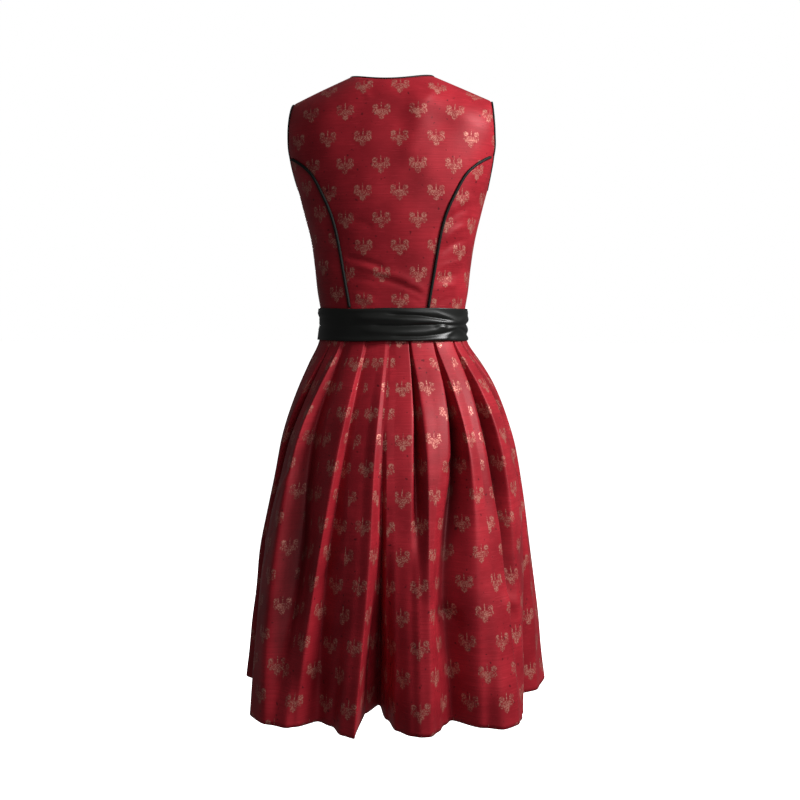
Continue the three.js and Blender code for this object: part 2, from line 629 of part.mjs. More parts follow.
// ---- Skirt ----
function foldValue(line, key, z) {
  const suffix = key === 'angle' ? '' : 'In';
  const rows = Object.entries(foldLevels).map(([level, height]) => ({ z: height, value: line[level + suffix] }));
  return z > foldLevels.waist ? rows[0].value : follow(rows, 'value', z);
}

// Points round the pleats at one height: fold lines joined by strips that turn round at the
// lines, softly at the hem and sharply at the waist.
function skirtRing(z, strips) {
  const depth = Math.min(Math.max((foldLevels.waist - z) / (foldLevels.waist - hemHeight), 0), 1);
  const softness = lerp(pleatSoftness.waist, pleatSoftness.hem, depth ** pleatSoftness.growth);
  const lines = foldLines.map((line) => ({
    angle: foldValue(line, 'angle', z) * degree,
    inside: foldValue(line, 'in', z),
  }));
  const ring = [];
  lines.forEach((line, index) => {
    const isLast = index === lines.length - 1;
    const next = isLast ? { angle: lines[0].angle + 2 * Math.PI, inside: lines[0].inside } : lines[index + 1];
    for (let strip = 0; strip < strips[index]; strip += 1) {
      const share = strip / strips[index];
      const smooth = share * share * (3 - 2 * share);
      const angle = lerp(line.angle, next.angle, share);
      const inside = lerp(line.inside, next.inside, lerp(share, smooth, softness));
      const depthKey = Math.cos(angle) > 0 ? 'back' : 'front';
      const radius = outlineRadius(angle, follow(skirtSections, 'halfWidth', z),
        follow(skirtSections, depthKey, z), follow(skirtSections, 'squareness', z)) - inside;
      ring.push(new THREE.Vector3(-Math.sin(angle) * radius, Math.cos(angle) * radius, z));
    }
  });
  return ring;
}

function addSkirt(group) {
  const hem = skirtRing(hemHeight, foldLines.map(() => 1));
  const strips = hem.map((point, index) => {
    const span = point.distanceTo(hem[(index + 1) % hem.length]);
    return Math.max(Math.round(span / skirtColumnWidth), 1);
  });
  const heights = [...skirtRows.map((row) => waistSeam - waistGap + row), hemHeight];
  const rings = heights.map((z) => skirtRing(z, strips));
  const count = rings[0].length;
  const around = (index) => (index + count) % count;
  const across = (row, column) => {
    const along = rings[row][around(column + 1)].clone().sub(rings[row][around(column)]).normalize();
    return new THREE.Vector3(along.y, -along.x, 0);
  };
  // Along the middle of each fold, longer where the fold is sharper.
  const normalAt = (row, column) => {
    const sum = across(row, around(column - 1)).add(across(row, column));
    const stretch = Math.min(2 / sum.length(), mitreLimit);
    return sum.setLength(stretch);
  };
  const startOf = (waistAngle) => strips
    .slice(0, foldLines.findIndex((line) => line.waist === waistAngle))
    .reduce((sum, strip) => sum + strip, 0);
  const left = startOf(sideSeamLines.left);
  const right = startOf(sideSeamLines.right);
  const half = (from, to) => {
    const columns = [];
    for (let column = from; column <= to; column += 1) {
      const line = heights.map((z, row) => {
        const point = rings[row][around(column)].clone();
        const pull = (towards) => point.addScaledVector(
          rings[row][around(towards)].clone().sub(rings[row][around(column)]).normalize(), seamPull);
        if (column === from) pull(column + 1);
        if (column === to) pull(column - 1);
        return { point, normal: normalAt(row, around(column)) };
      });
      columns.push(line);
    }
    return columns;
  };
  addPiece(group, 'skirt_back', wallGeometry(half(left, right), clothThickness), brocade);
  addPiece(group, 'skirt_front', wallGeometry(half(right, left + count), clothThickness), brocade);
}

const group = new THREE.Group();
addBodice(group);
addPiping(group);
addSash(group);
addSkirt(group);

export default group;
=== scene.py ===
import math
import bpy
import bmesh
import numpy as np
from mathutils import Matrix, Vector


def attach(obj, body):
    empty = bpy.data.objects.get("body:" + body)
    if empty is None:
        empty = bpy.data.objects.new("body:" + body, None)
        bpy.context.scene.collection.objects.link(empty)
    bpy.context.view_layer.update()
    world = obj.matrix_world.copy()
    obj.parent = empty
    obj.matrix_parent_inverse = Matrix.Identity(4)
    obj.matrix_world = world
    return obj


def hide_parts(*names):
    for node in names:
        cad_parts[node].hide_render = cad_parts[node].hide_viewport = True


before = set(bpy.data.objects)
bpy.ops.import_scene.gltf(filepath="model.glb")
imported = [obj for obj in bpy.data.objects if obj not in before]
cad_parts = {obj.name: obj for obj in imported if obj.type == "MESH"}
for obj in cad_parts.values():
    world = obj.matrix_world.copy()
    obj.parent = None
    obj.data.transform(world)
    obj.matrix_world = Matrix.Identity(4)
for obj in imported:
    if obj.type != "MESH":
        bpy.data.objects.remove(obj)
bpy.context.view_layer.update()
mm = 0.001  # every table is in millimetres, every mesh in metres
degree = math.pi / 180
weld = 1e-6  # vertices nearer than this are one, in metres
mirror = np.array([-1, 1, 1])  # from the wearer's right to the left
print("frame loaded")


def table(keys, rows):  # rows of plain values as dictionaries; a short row leaves its last keys out
    return [dict(zip(keys.split(), row)) for row in rows]


def mix(a, b, share):
    return a + (b - a) * share


def ease(share):
    return share * share * (3 - 2 * share)


def signedPower(value, power):
    return np.sign(value) * np.abs(value) ** power


def follow(rows, column, z):  # smooth curve through one column of a table
    heights = np.array([row["z"] for row in rows], float)
    values = np.array([row[column] for row in rows], float)
    if heights[0] > heights[-1]:
        heights, values = heights[::-1], values[::-1]
    last = len(heights) - 1
    before = np.maximum(np.arange(last + 1) - 1, 0)
    after = np.minimum(np.arange(last + 1) + 1, last)
    slope = (values[after] - values[before]) / (heights[after] - heights[before])
    z = np.asarray(z, float)
    at = np.clip(np.searchsorted(heights, z, side="right") - 1, 0, last - 1)
    span = heights[at + 1] - heights[at]
    share = np.clip((z - heights[at]) / span, 0, 1)
    share2, share3 = share ** 2, share ** 3
    return ((2 * share3 - 3 * share2 + 1) * values[at] + (share3 - 2 * share2 + share) * span * slope[at]
            + (3 * share2 - 2 * share3) * values[at + 1] + (share3 - share2) * span * slope[at + 1])


def gridNormals(points, closed=False):  # points[column, row] in space
    if closed:
        across = np.roll(points, -1, 0) - np.roll(points, 1, 0)
    else:
        across = np.gradient(points, axis=0)
    up = np.gradient(points, axis=1)
    normal = np.cross(across, up)
    return normal / np.maximum(np.linalg.norm(normal, axis=2, keepdims=True), 1e-9)


def clothGrid(name, points, uv, closed=False, paintedShade=None):
    # a flat grid whose vertices are moved to points[column, row]; uv has one row of
    # columns for each strip, so a strip may start afresh at a fold
    columnCount, rowCount = points.shape[0] - 1, points.shape[1] - 1
    mesh = bpy.data.meshes.new(name)
    shape = bmesh.new()
    bmesh.ops.create_grid(shape, x_segments=columnCount, y_segments=rowCount, size=0.5)
    layer = shape.loops.layers.uv.new("clothUv")
    shade = shape.verts.layers.float.new("paintedShade")  # painted shade: 1 deep inside a fold, where the colour is darkened in place of shadow
    place = {}
    for vertex in shape.verts:
        column = round((vertex.co.x + 0.5) * columnCount)
        row = round((vertex.co.y + 0.5) * rowCount)
        place[vertex.index] = (column, row)
        vertex.co = Vector(points[column, row] * mm)
        vertex[shade] = 0 if paintedShade is None else paintedShade[column, row]
    shape.verts.ensure_lookup_table()
    for face in shape.faces:
        strip = min(place[loop.vert.index][0] for loop in face.loops)
        for loop in face.loops:
            column, row = place[loop.vert.index]
            loop[layer].uv = uv[strip][column - strip][row] * mm
        face.smooth = True
    if closed:
        bmesh.ops.remove_doubles(shape, verts=shape.verts, dist=weld)
    shape.to_mesh(mesh)
    shape.free()
    piece = bpy.data.objects.new(name, mesh)
    bpy.context.collection.objects.link(piece)
    return piece


def plainUv(u, v):  # one uv for each vertex, shared by the strips either side
    pair = np.stack([u, v], axis=2)
    return [(pair[column], pair[column + 1]) for column in range(len(pair) - 1)]


def thicken(piece, thickness):
    solid = piece.modifiers.new("cloth", "SOLIDIFY")
    solid.thickness = thickness * mm
    solid.offset = -1  # inwards, so the face stays as it was shaped
    solid.use_even_offset = False


def pointsOutwards(piece, inside):
    # turns the faces round when they look at the middle of the hollow
    mesh = piece.data
    total = sum(poly.area * poly.normal.dot(poly.center - Vector(inside)) for poly in mesh.polygons)
    if total < 0:
        mesh.flip_normals()


class Socket:
    def __init__(self, book, output):
        self.book, self.output = book, output

    def join(self, operation, *others, swapped=False):
        values = [*others, self] if swapped else [self, *others]
        return self.book.node("ShaderNodeMath", {"operation": operation}, values)

    def __add__(self, other): return self.join("ADD", other)
    def __radd__(self, other): return self.join("ADD", other, swapped=True)
    def __sub__(self, other): return self.join("SUBTRACT", other)
    def __rsub__(self, other): return self.join("SUBTRACT", other, swapped=True)
    def __mul__(self, other): return self.join("MULTIPLY", other)
    def __rmul__(self, other): return self.join("MULTIPLY", other, swapped=True)
    def __truediv__(self, other): return self.join("DIVIDE", other)
    def __rtruediv__(self, other): return self.join("DIVIDE", other, swapped=True)
    def most(self, other): return self.join("MAXIMUM", other)
    def wrap(self, size): return self.join("WRAP", size, 0)
    def size(self): return self.join("ABSOLUTE")
    def wave(self, pitch): return (self * (2 * math.pi / pitch)).join("SINE")

    def soft(self, low, high):  # 0 below low, 1 above high
        settings = {"interpolation_type": "SMOOTHSTEP"}
        return self.book.node("ShaderNodeMapRange", settings, {"Value": self, "From Min": low, "From Max": high})


class MaterialBook:
    def __init__(self, name):
        self.material = bpy.data.materials.new(name)
        self.material.use_nodes = True
        self.tree = self.material.node_tree
        self.tree.nodes.clear()
        self.shader = self.tree.nodes.new("ShaderNodeBsdfPrincipled")
        output = self.tree.nodes.new("ShaderNodeOutputMaterial")
        self.tree.links.new(self.shader.outputs["BSDF"], output.inputs["Surface"])

    def node(self, kind, settings, inputs, output=0):
        made = self.tree.nodes.new(kind)
        for key, value in settings.items():
            setattr(made, key, value)
        pairs = inputs.items() if isinstance(inputs, dict) else enumerate(inputs)
        for key, value in pairs:
            self.feed(made.inputs[key], value)
        return Socket(self, made.outputs[output])

    def feed(self, target, value):
        if isinstance(value, Socket):
            self.tree.links.new(value.output, target)
        else:
            target.default_value = value

    def blend(self, factor, first, second):
        return self.node("ShaderNodeMix", {"data_type": "RGBA"}, {0: factor, 6: first, 7: second}, 2)

    def noise(self, place, scale, detail, squeeze=None):
        if squeeze:
            place = self.node("ShaderNodeVectorMath", {"operation": "MULTIPLY"}, [place, squeeze])
        return self.node("ShaderNodeTexNoise", {}, {"Vector": place, "Scale": scale, "Detail": detail})

    def surface(self, **sockets):
        titles = {"baseColor": "Base Color", "roughness": "Roughness", "metallic": "Metallic", "normal": "Normal",
                  "specular": "Specular IOR Level", "specularTint": "Specular Tint", "sheen": "Sheen Weight",
                  "sheenRoughness": "Sheen Roughness", "sheenTint": "Sheen Tint", "emission": "Emission Color",
                  "emissionStrength": "Emission Strength"}
        for name, value in sockets.items():
            self.feed(self.shader.inputs[titles[name]], value)
        return self.material


brocade = {
    "red": (0.41, 0.0195, 0.031, 1), "deepRed": (0.24, 0.009, 0.016, 1), "copper": (0.56, 0.25, 0.19, 1),
    "paintedShadeRed": (0.022, 0.001, 0.002, 1),  # painted shade, deep inside the folds
    "sprigRed": (0.13, 0.006, 0.010, 1), "slubRed": (0.56, 0.035, 0.055, 1), "knotRed": (0.045, 0.003, 0.006, 1),
    "repeatAcross": 0.0590, "repeatUp": 0.0872,  # a half-drop repeat holds two sprigs
    "shiftAcross": -0.019, "shiftUp": -0.0228, "bendAcross": 0.0022, "bendUp": 0.0018, "petalEdge": (1.5, 0.5),
    "weftStep": 0.0011, "warpStep": 0.0006, "bump": 0.22, "bumpDepth": 0.0004,
}
brocadeShine = {
    "specular": 0.36, "specularTint": (1.0, 0.42, 0.44, 1),
    "sheen": 0.08, "sheenRoughness": 0.45, "sheenTint": (0.9, 0.10, 0.12, 1),
}
brocadeNoises = {  # scale, detail, and how the cloth's place is squeezed for it
    "wobble": (60, 2), "speckle": (520, 1), "patches": (95, 1), "knots": (130, 1), "clouds": (14, 3),
    "slubs": (1, 2, (45, 900, 1)), "streaks": (1, 3, (9, 420, 1)),
}
# petals of half a sprig, mirrored about its stem: middle, half sizes (mm), lean (degrees), strength
sprigPetals = table("x z wide tall lean full", [
    (0.0, 7.6, 0.9, 6.4, 0, 1.0),      # centre spike
    (9.8, 6.6, 4.4, 4.2, -24, 0.95),   # side blossom
    (12.6, 0.6, 1.6, 4.0, 20, 0.8),    # outer leaf
    (3.2, -2.2, 5.2, 5.4, 28, 0.8),    # leaves about the stem
    (8.0, -1.8, 2.6, 5.4, 34, 0.75),
    (1.6, -9.0, 2.8, 4.2, 18, 0.85),
    (0.0, -12.8, 1.3, 2.2, 0, 0.8),    # foot of the stem
])
# darker hollows: the heart of each blossom and the space beside the spike
sprigEyes = table("x z wide tall lean full", [
    (9.8, 6.2, 1.2, 1.1, 0, 0.6),
    (3.6, 6.2, 1.7, 3.8, -14, 0.8),
])


def petalMask(across, up, petals):
    side = across.size()
    mask = None
    for petal in petals:
        cosine, sine = math.cos(petal["lean"] * degree), math.sin(petal["lean"] * degree)
        x, z = side - petal["x"] * mm, up - petal["z"] * mm
        along = (x * cosine + z * sine) / (petal["wide"] * mm)
        over = (z * cosine - x * sine) / (petal["tall"] * mm)
        one = (along * along + over * over).soft(*brocade["petalEdge"]) * petal["full"]
        mask = one if mask is None else mask.most(one)
    return mask


def makeBrocade():
    book = MaterialBook("brocade")
    uv = book.node("ShaderNodeUVMap", {"uv_map": "clothUv"}, [])
    across = book.node("ShaderNodeSeparateXYZ", {}, [uv])
    up = Socket(book, across.output.node.outputs["Y"])
    place = book.node("ShaderNodeCombineXYZ", {}, [across, up, 0])
    noise = {name: book.noise(place, *row) for name, row in brocadeNoises.items()}
    wobble = noise["wobble"] - 0.5
    bentAcross, bentUp = across + wobble * brocade["bendAcross"], up + wobble * brocade["bendUp"]
    width, height = brocade["repeatAcross"], brocade["repeatUp"]
    sprigs, eyes = None, None
    for half in (0, 1):
        x = (bentAcross + brocade["shiftAcross"] + half * width / 2).wrap(width) - width / 2
        z = (bentUp + brocade["shiftUp"] + half * height / 2).wrap(height) - height / 2
        oneSprig, oneEye = petalMask(x, z, sprigPetals), petalMask(x, z, sprigEyes)
        sprigs = oneSprig if sprigs is None else sprigs.most(oneSprig)
        eyes = oneEye if eyes is None else eyes.most(oneEye)
    # copper threads lie across the cloth and show only in specks
    threads = up.wave(brocade["weftStep"]) * 0.5 + 0.5
    worn = (noise["speckle"] * 0.85 + noise["patches"] * 0.4 + threads * 0.05).soft(0.56, 0.80)
    copper = sprigs * (1 - eyes) * (worn * 0.85 + 0.06)
    # slubs: short flecks along the weft, here and there a knot
    slubs, knots = noise["slubs"].soft(0.56, 0.74), noise["knots"].soft(0.68, 0.76)
    streaks = noise["streaks"].soft(0.35, 0.7)
    # painted shade: the colour darkens towards near-black deep inside the skirt's folds
    paintedShade = book.node("ShaderNodeAttribute", {"attribute_name": "paintedShade"}, [], "Fac")
    color = book.blend(noise["clouds"].soft(0.3, 0.72), brocade["deepRed"], brocade["red"])
    for share, shade in ((sprigs.most(eyes) * 0.45, "sprigRed"), (streaks * 0.5, "deepRed"),
                         (slubs * 0.35, "slubRed"), (knots * 0.75, "knotRed"), (copper, "copper"),
                         (paintedShade, "paintedShadeRed")):
        color = book.blend(share, color, brocade[shade])
    weave = across.wave(brocade["warpStep"]) * 0.35 + threads * 0.65
    relief = weave * 0.25 + slubs * 0.8 + sprigs * 0.9 - knots * 0.6
    normal = book.node("ShaderNodeBump", {}, {"Strength": brocade["bump"], "Distance": brocade["bumpDepth"],
                                              "Height": relief})
    return book.surface(baseColor=color, roughness=0.47 - copper * 0.12 + slubs * 0.06,
                        metallic=copper * 0.35, normal=normal, **brocadeShine)


satin = {
    "black": (0.006, 0.006, 0.0055, 1), "lift": (0.012, 0.013, 0.012, 1), "clouds": (22, 3),
    "threads": (1, 1, (300, 300, 2400)), "bumpDepth": 0.0003, "patchy": 0.12,
}


def makeSatin(name, roughness, bump, specular):
    book = MaterialBook(name)
    place = book.node("ShaderNodeTexCoord", {}, [], "Object")
    clouds, threads = book.noise(place, *satin["clouds"]), book.noise(place, *satin["threads"])
    normal = book.node("ShaderNodeBump", {}, {"Strength": bump, "Distance": satin["bumpDepth"], "Height": threads})
    return book.surface(baseColor=book.blend(clouds, satin["black"], satin["lift"]), normal=normal,
                        roughness=roughness + (clouds - 0.5) * satin["patchy"], specular=specular)


brocadeMaterial = makeBrocade()
sashMaterial = makeSatin("sash", roughness=0.38, bump=0.12, specular=0.36)
pipingMaterial = makeSatin("piping", roughness=0.62, bump=0.3, specular=0.2)
print("materials made")


bodice = {
    "neckHalfWidth": 73, "shoulderHalfWidth": 167, "shoulderDrop": 41, "shoulderY": 5,
    "roll": 65,  # height over which the shoulder rolls into the front and the back
    "squareness": 2.35, "crestHalfWidth": 190, "waist": -417, "armholeBottom": -190,
    "cloth": 0.9, "grooveDepth": 0.7, "grooveWidth": 1.6, "edgeSamples": 600,
    "uneven": 0.8, "frontShift": 60,  # height of the slow waves, and where the front's begin
    "shoulderReach": 90,  # this far down the shoulders the cloth still looks upwards
    "smoothFrom": -10, "smoothReach": 50, "smoothLeast": 0.2,  # the shoulders lie smooth
    "sashTop": -392, "sashReach": 30,  # the sash holds the waist flat
    "edgeReach": 14, "edgeLeast": 0.25,  # creases die out towards a seam
    "inside": (0, 0, -0.2),  # a point in the hollow, in metres
}
bust = {"x": 84, "z": -228, "rise": 15, "spreadX": 44, "spreadZ": 50}
bodySections = table("z halfWidth back front", [
    (40, 190, 86, 80),
    (-55, 190, 98, 96),
    (-128, 178, 108, 114),
    (-190, 160, 109, 124),
    (-230, 149.5, 106, 126),
    (-272, 139, 101, 120),
    (-320, 132, 95, 110),
    (-360, 127.5, 91.5, 103),
    (-390, 122.5, 89, 99),
    (-417, 120, 88, 98),
])
backEdge = table("z x", [  # down the armhole to the head of the piped seam, then down the seam
    (-41, 166), (-70, 169), (-100, 171), (-135, 169.5),
    (-145, 155), (-156, 140), (-172, 124.5), (-204, 107),
    (-233, 94), (-264, 85), (-301, 78), (-332, 73),
    (-361, 68), (-386, 64), (-417, 60),
])
frontEdge = table("z x", [
    (-41, 166), (-70, 160), (-100, 155), (-130, 151),
    (-145, 134), (-165, 116), (-195, 98), (-228, 89),
    (-270, 81), (-330, 70), (-417, 57),
])
cuts = {
    "back": {"edge": backEdge, "seamHead": -135, "centreTurn": 0, "chest": -125,
             "neckDrop": 16, "neckAcross": 1, "neckDown": 2},
    "front": {"edge": frontEdge, "seamHead": -130, "centreTurn": math.pi, "chest": -160,
              "neckDrop": 125, "neckAcross": 1.05, "neckDown": 1.05},
}


# turn: 0 at the centre back, a right angle at the side seam, pi at the centre front.
# fall: how far down from the shoulder's crest, in units of its roll.
def crestHeight(turn):
    across = bodice["crestHalfWidth"] * np.abs(np.sin(turn)) ** (2 / bodice["squareness"])
    neck = bodice["neckHalfWidth"]
    slope = bodice["shoulderDrop"] / (bodice["shoulderHalfWidth"] - neck)
    share = across / neck
    return np.where(share > 1, -slope * (across - neck), slope * neck * (1 - share ** 2) / 2)


def fallOf(turn, z):
    share = (crestHeight(turn) - z) / bodice["roll"]
    return np.where(share < 1, np.arccos(np.clip(1 - share, -1, 1)), math.pi / 2 + share - 1)


def heightOf(turn, fall):
    drop = np.where(fall < math.pi / 2, 1 - np.cos(fall), 1 + fall - math.pi / 2)
    return crestHeight(turn) - bodice["roll"] * drop


def turnAt(x, z):
    share = np.minimum(np.asarray(x) / follow(bodySections, "halfWidth", z), 1)
    return np.arcsin(share ** (bodice["squareness"] / 2))


def bodyPoint(turn, fall):
    z = heightOf(turn, fall)
    power = 2 / bodice["squareness"]
    across = follow(bodySections, "halfWidth", z) * signedPower(np.sin(turn), power)
    towards = np.cos(turn)
    depth = np.where(towards > 0, follow(bodySections, "back", z), follow(bodySections, "front", z))
    y = depth * signedPower(towards, power)
    offX = (np.abs(across) - bust["x"]) / bust["spreadX"]
    offZ = (z - bust["z"]) / bust["spreadZ"]
    y = y - np.where(towards < 0, bust["rise"] * np.exp(-offX ** 2 - offZ ** 2), 0)
    roll = np.sin(np.minimum(fall, math.pi / 2))
    return np.stack([-across, bodice["shoulderY"] + (y - bodice["shoulderY"]) * roll, z], axis=-1)


def edgePlaces(cut, facing, fromZ, toZ, count):  # even along the fall
    heights = np.linspace(fromZ, toZ, bodice["edgeSamples"])
    turns = turnAt(follow(cut["edge"], "x", heights), heights)
    turns = turns if facing == "back" else math.pi - turns
    falls = fallOf(turns, heights)
    wanted = np.linspace(falls[0], falls[-1], count + 1)
    order = np.argsort(falls)
    return np.stack([np.interp(wanted, falls[order], turns[order]), wanted], axis=1)


def fillPatch(bottom, top, start, end):  # four edges of (turn, fall) pairs
    share = np.linspace(0, 1, len(start))[None, :, None]
    reach = np.linspace(0, 1, len(bottom))[:, None, None]
    ruled = mix(bottom[:, None, :], top[:, None, :], share)
    places = ruled + (1 - reach) * (start[None] - ruled[:1]) + reach * (end[None] - ruled[-1:])
    places[..., 1] = np.maximum(places[..., 1], 0)
    return places


def acrossPlaces(cut, endTurn, heights):
    turns = np.linspace(cut["centreTurn"], endTurn, len(heights))
    return np.stack([turns, fallOf(turns, heights)], axis=1)


def necklinePlaces(cut, count):
    angle = (1 - np.linspace(0, 1, count + 1)) * math.pi / 2
    x = bodice["neckHalfWidth"] * np.cos(angle) ** cut["neckAcross"]
    z = -cut["neckDrop"] * np.sin(angle) ** cut["neckDown"]
    turn = np.abs(cut["centreTurn"] - turnAt(x, z))
    places = np.stack([turn, fallOf(turn, z)], axis=1)
    places[-1, 1] = 0
    return places


def between(first, last, count):
    return mix(np.array(first)[None], np.array(last)[None], np.linspace(0, 1, count + 1)[:, None])


panelCounts = {  # columns and rows of the grids; of a centre panel, half
    "back": {"columns": 54, "riseRows": 36, "neckColumns": 31, "centreRows": 0},
    "front": {"columns": 54, "riseRows": 40, "neckColumns": 0, "centreRows": 5},
    "sideColumns": 40, "seamRows": 88,
}


def centrePlaces(facing):  # half of a centre panel, from the centre line out
    cut, seamRows = cuts[facing], panelCounts["seamRows"]
    columns, riseRows, neckColumns, centreRows = panelCounts[facing].values()
    isBack = facing == "back"
    seam = edgePlaces(cut, facing, bodice["waist"], cut["seamHead"], seamRows)
    armhole = edgePlaces(cut, facing, cut["seamHead"], -bodice["shoulderDrop"], riseRows)
    share = np.linspace(0, 1, columns + 1)
    bottom = acrossPlaces(cut, seam[0, 0], np.full(columns + 1, float(bodice["waist"])))
    chest = acrossPlaces(cut, seam[-1, 0], mix(cut["chest"], cut["seamHead"], share ** 2))
    armhole[-1, 1] = 0
    neckline = necklinePlaces(cut, neckColumns if isBack else riseRows - centreRows)
    shoulder = between(neckline[-1], armhole[-1], columns - neckColumns if isBack else columns)
    if isBack:
        top = np.concatenate([neckline, shoulder[1:]])
        rise = between(chest[0], top[0], riseRows)
    else:
        top = shoulder
        rise = np.concatenate([between(chest[0], neckline[0], centreRows), neckline[1:]])
    lower = fillPatch(bottom, chest, between(bottom[0], chest[0], seamRows), seam)
    upper = fillPatch(chest, top, rise, armhole)
    return np.concatenate([lower, upper[:, 1:]], axis=1)


def sidePlaces(facing):  # from the seam out to the side seam
    cut, columns, rows = cuts[facing], panelCounts["sideColumns"], panelCounts["seamRows"]
    start = edgePlaces(cut, facing, bodice["waist"], cut["seamHead"], rows)
    side = math.pi / 2
    foot, head = [(side, float(fallOf(side, bodice[key]))) for key in ("waist", "armholeBottom")]
    end = between(foot, head, rows)
    share = np.linspace(0, 1, columns + 1)
    lowTurns = mix(start[0, 0], side, share)
    highTurns = mix(start[-1, 0], side, share)
    highs = mix(cut["seamHead"], bodice["armholeBottom"], np.sin(share * math.pi / 2))
    bottom = np.stack([lowTurns, fallOf(lowTurns, bodice["waist"])], axis=1)
    top = np.stack([highTurns, fallOf(highTurns, highs)], axis=1)
    return fillPatch(bottom, top, start, end)


# creases of the bodice: ends (x, z), half width and height of a soft ridge, negative for a trough.
# x is towards the wearer's right, as it is seen from behind
creases = {
    "back": table("from to wide rise", [
        ((76, -14), (53, -60), 6, 1.3),
        ((55, -46), (58, -214), 15, 1.0),
        ((52, -4), (30, -170), 17, 3.4),
        ((96, -20), (84, -120), 22, -2.4),
        ((-58, -14), (-27, -58), 6, 1.3),
        ((-30, -50), (-34, -150), 14, 0.6),
        ((-88, -302), (12, -334), 5.5, -1.9),
        ((-70, -316), (64, -356), 6, 1.7),
        ((-36, -336), (66, -372), 4.5, -1.4),
        ((-74, -340), (-8, -352), 4, -0.9),
        ((-66, -368), (-14, -386), 5, 1.2),
        ((6, -366), (58, -384), 4, -1.2),
        ((22, -352), (62, -362), 4, 1.0),
        ((-64, -250), (-20, -262), 6, -0.8),
        ((74, -292), (134, -248), 5.5, 2.5),
        ((76, -306), (134, -272), 5.5, -2.2),
        ((88, -256), (136, -222), 5, -1.6),
        ((96, -238), (142, -204), 6, 1.5),
        ((70, -330), (126, -312), 4.5, 1.2),
        ((66, -352), (118, -332), 5, -1.5),
        ((64, -366), (116, -350), 4.5, 1.6),
        ((72, -392), (112, -368), 5, -1.3),
        ((-128, -296), (-80, -306), 5, -1.7),
        ((-126, -318), (-84, -330), 5, 1.3),
        ((-120, -350), (-78, -360), 4.5, -1.2),
        ((-134, -250), (-96, -272), 6, 1.0),
    ]),
    "front": table("from to wide rise", [
        ((-112, -300), (-52, -352), 9, -1.8),
        ((52, -352), (108, -306), 9, -1.6),
        ((-40, -372), (34, -380), 8, -1.4),
        ((92, -246), (126, -196), 9, 1.4),
        ((-126, -200), (-96, -252), 8, 1.3),
        ((-30, -196), (28, -202), 10, -1.2),
    ]),
}


creaseShape = {"bend": 5, "fade": 0.3}  # no crease is quite straight, and each dies out at its ends


def creaseRelief(rows, x, z):
    relief = np.zeros_like(x)
    for crease in rows:
        start, end = np.array(crease["from"], float), np.array(crease["to"], float)
        length = np.linalg.norm(end - start)
        line = (end - start) / length
        along = ((x - start[0]) * line[0] + (z - start[1]) * line[1]) / length
        off = -(x - start[0]) * line[1] + (z - start[1]) * line[0]
        bend = creaseShape["bend"] * np.sin(along * math.pi)
        ends = np.clip(along / creaseShape["fade"], 0, 1) * np.clip((1 - along) / creaseShape["fade"], 0, 1)
        relief = relief + crease["rise"] * ease(ends) * np.exp(-((off - bend) / crease["wide"]) ** 2)
    return relief


# the slow waves of a cloth that never hangs quite smooth: radians a mm both ways, and their starts
slowWaves = [(0.021, 0.013, 0.4), (-0.017, 0.031, 2.1), (0.043, 0.019, 4.0), (-0.036, 0.052, 1.2),
             (0.011, -0.061, 5.1)]


def unevenness(x, z, amount):
    return amount * sum(np.sin(a * x + b * z + c) for a, b, c in slowWaves) / len(slowWaves)


arcGrid = {"heights": (-420, 20, 45), "turns": 181}


def arcTable():
    # cloth length round the bodice from the centre back, by height and turn
    heights = np.linspace(*arcGrid["heights"])
    turns = np.linspace(0, math.pi, arcGrid["turns"])
    gridTurn, gridZ = np.meshgrid(turns, heights)
    points = bodyPoint(gridTurn, np.maximum(fallOf(gridTurn, gridZ), math.pi / 2))
    steps = np.linalg.norm(np.diff(points[..., :2], axis=1), axis=2)
    return heights, turns, np.concatenate([np.zeros((len(heights), 1)), np.cumsum(steps, axis=1)], axis=1)


arcHeights, arcTurns, arcLengths = arcTable()


def arcLength(turn, z):
    at = np.clip((z - arcHeights[0]) / (arcHeights[1] - arcHeights[0]), 0, len(arcHeights) - 1.001)
    over = np.clip(np.abs(turn) / (arcTurns[1] - arcTurns[0]), 0, len(arcTurns) - 1.001)
    row, column = at.astype(int), over.astype(int)
    shareZ, shareT = at - row, over - column
    low = mix(arcLengths[row, column], arcLengths[row, column + 1], shareT)
    high = mix(arcLengths[row + 1, column], arcLengths[row + 1, column + 1], shareT)
    return mix(low, high, shareZ) * np.sign(turn)


def edgeDistance(points):  # shortest cloth length to either side edge of the panel
    steps = np.linalg.norm(np.diff(points, axis=0), axis=2)
    walked = np.concatenate([np.zeros((1, points.shape[1])), np.cumsum(steps, axis=0)])
    return np.minimum(walked, walked[-1:] - walked)


def finishPanel(name, places, side, facing, shift):
    points = bodyPoint(places[..., 0], places[..., 1])
    u = arcLength(places[..., 0], points[..., 2])
    v = crestHeight(places[..., 0]) - bodice["roll"] * places[..., 1]
    if side < 0:
        points = points * mirror
        u = -u
    x, z = points[..., 0], points[..., 2]
    outward = points.copy()
    outward[..., 2] = np.maximum(z + bodice["shoulderReach"], 0)
    normals = gridNormals(points)
    normals = normals * np.sign((normals * outward).sum(axis=2, keepdims=True))
    waveX = x + bodice["frontShift"] if facing == "front" else x
    relief = creaseRelief(creases[facing], -x, z) + unevenness(waveX, z, bodice["uneven"])
    relief = relief * np.clip((bodice["smoothFrom"] - z) / bodice["smoothReach"], bodice["smoothLeast"], 1)
    relief = relief * np.clip((z - bodice["sashTop"]) / bodice["sashReach"], 0, 1)
    distance = edgeDistance(points)
    full = np.clip(distance / bodice["edgeReach"], bodice["edgeLeast"], 1)
    groove = -bodice["grooveDepth"] * np.exp(-(distance / bodice["grooveWidth"]) ** 2)
    points = points + normals * (relief * full + groove)[..., None]
    piece = clothGrid(name, points, plainUv(u + shift[0], v + shift[1]))
    pointsOutwards(piece, bodice["inside"])
    thicken(piece, bodice["cloth"])
    piece.data.materials.append(brocadeMaterial)
    return piece


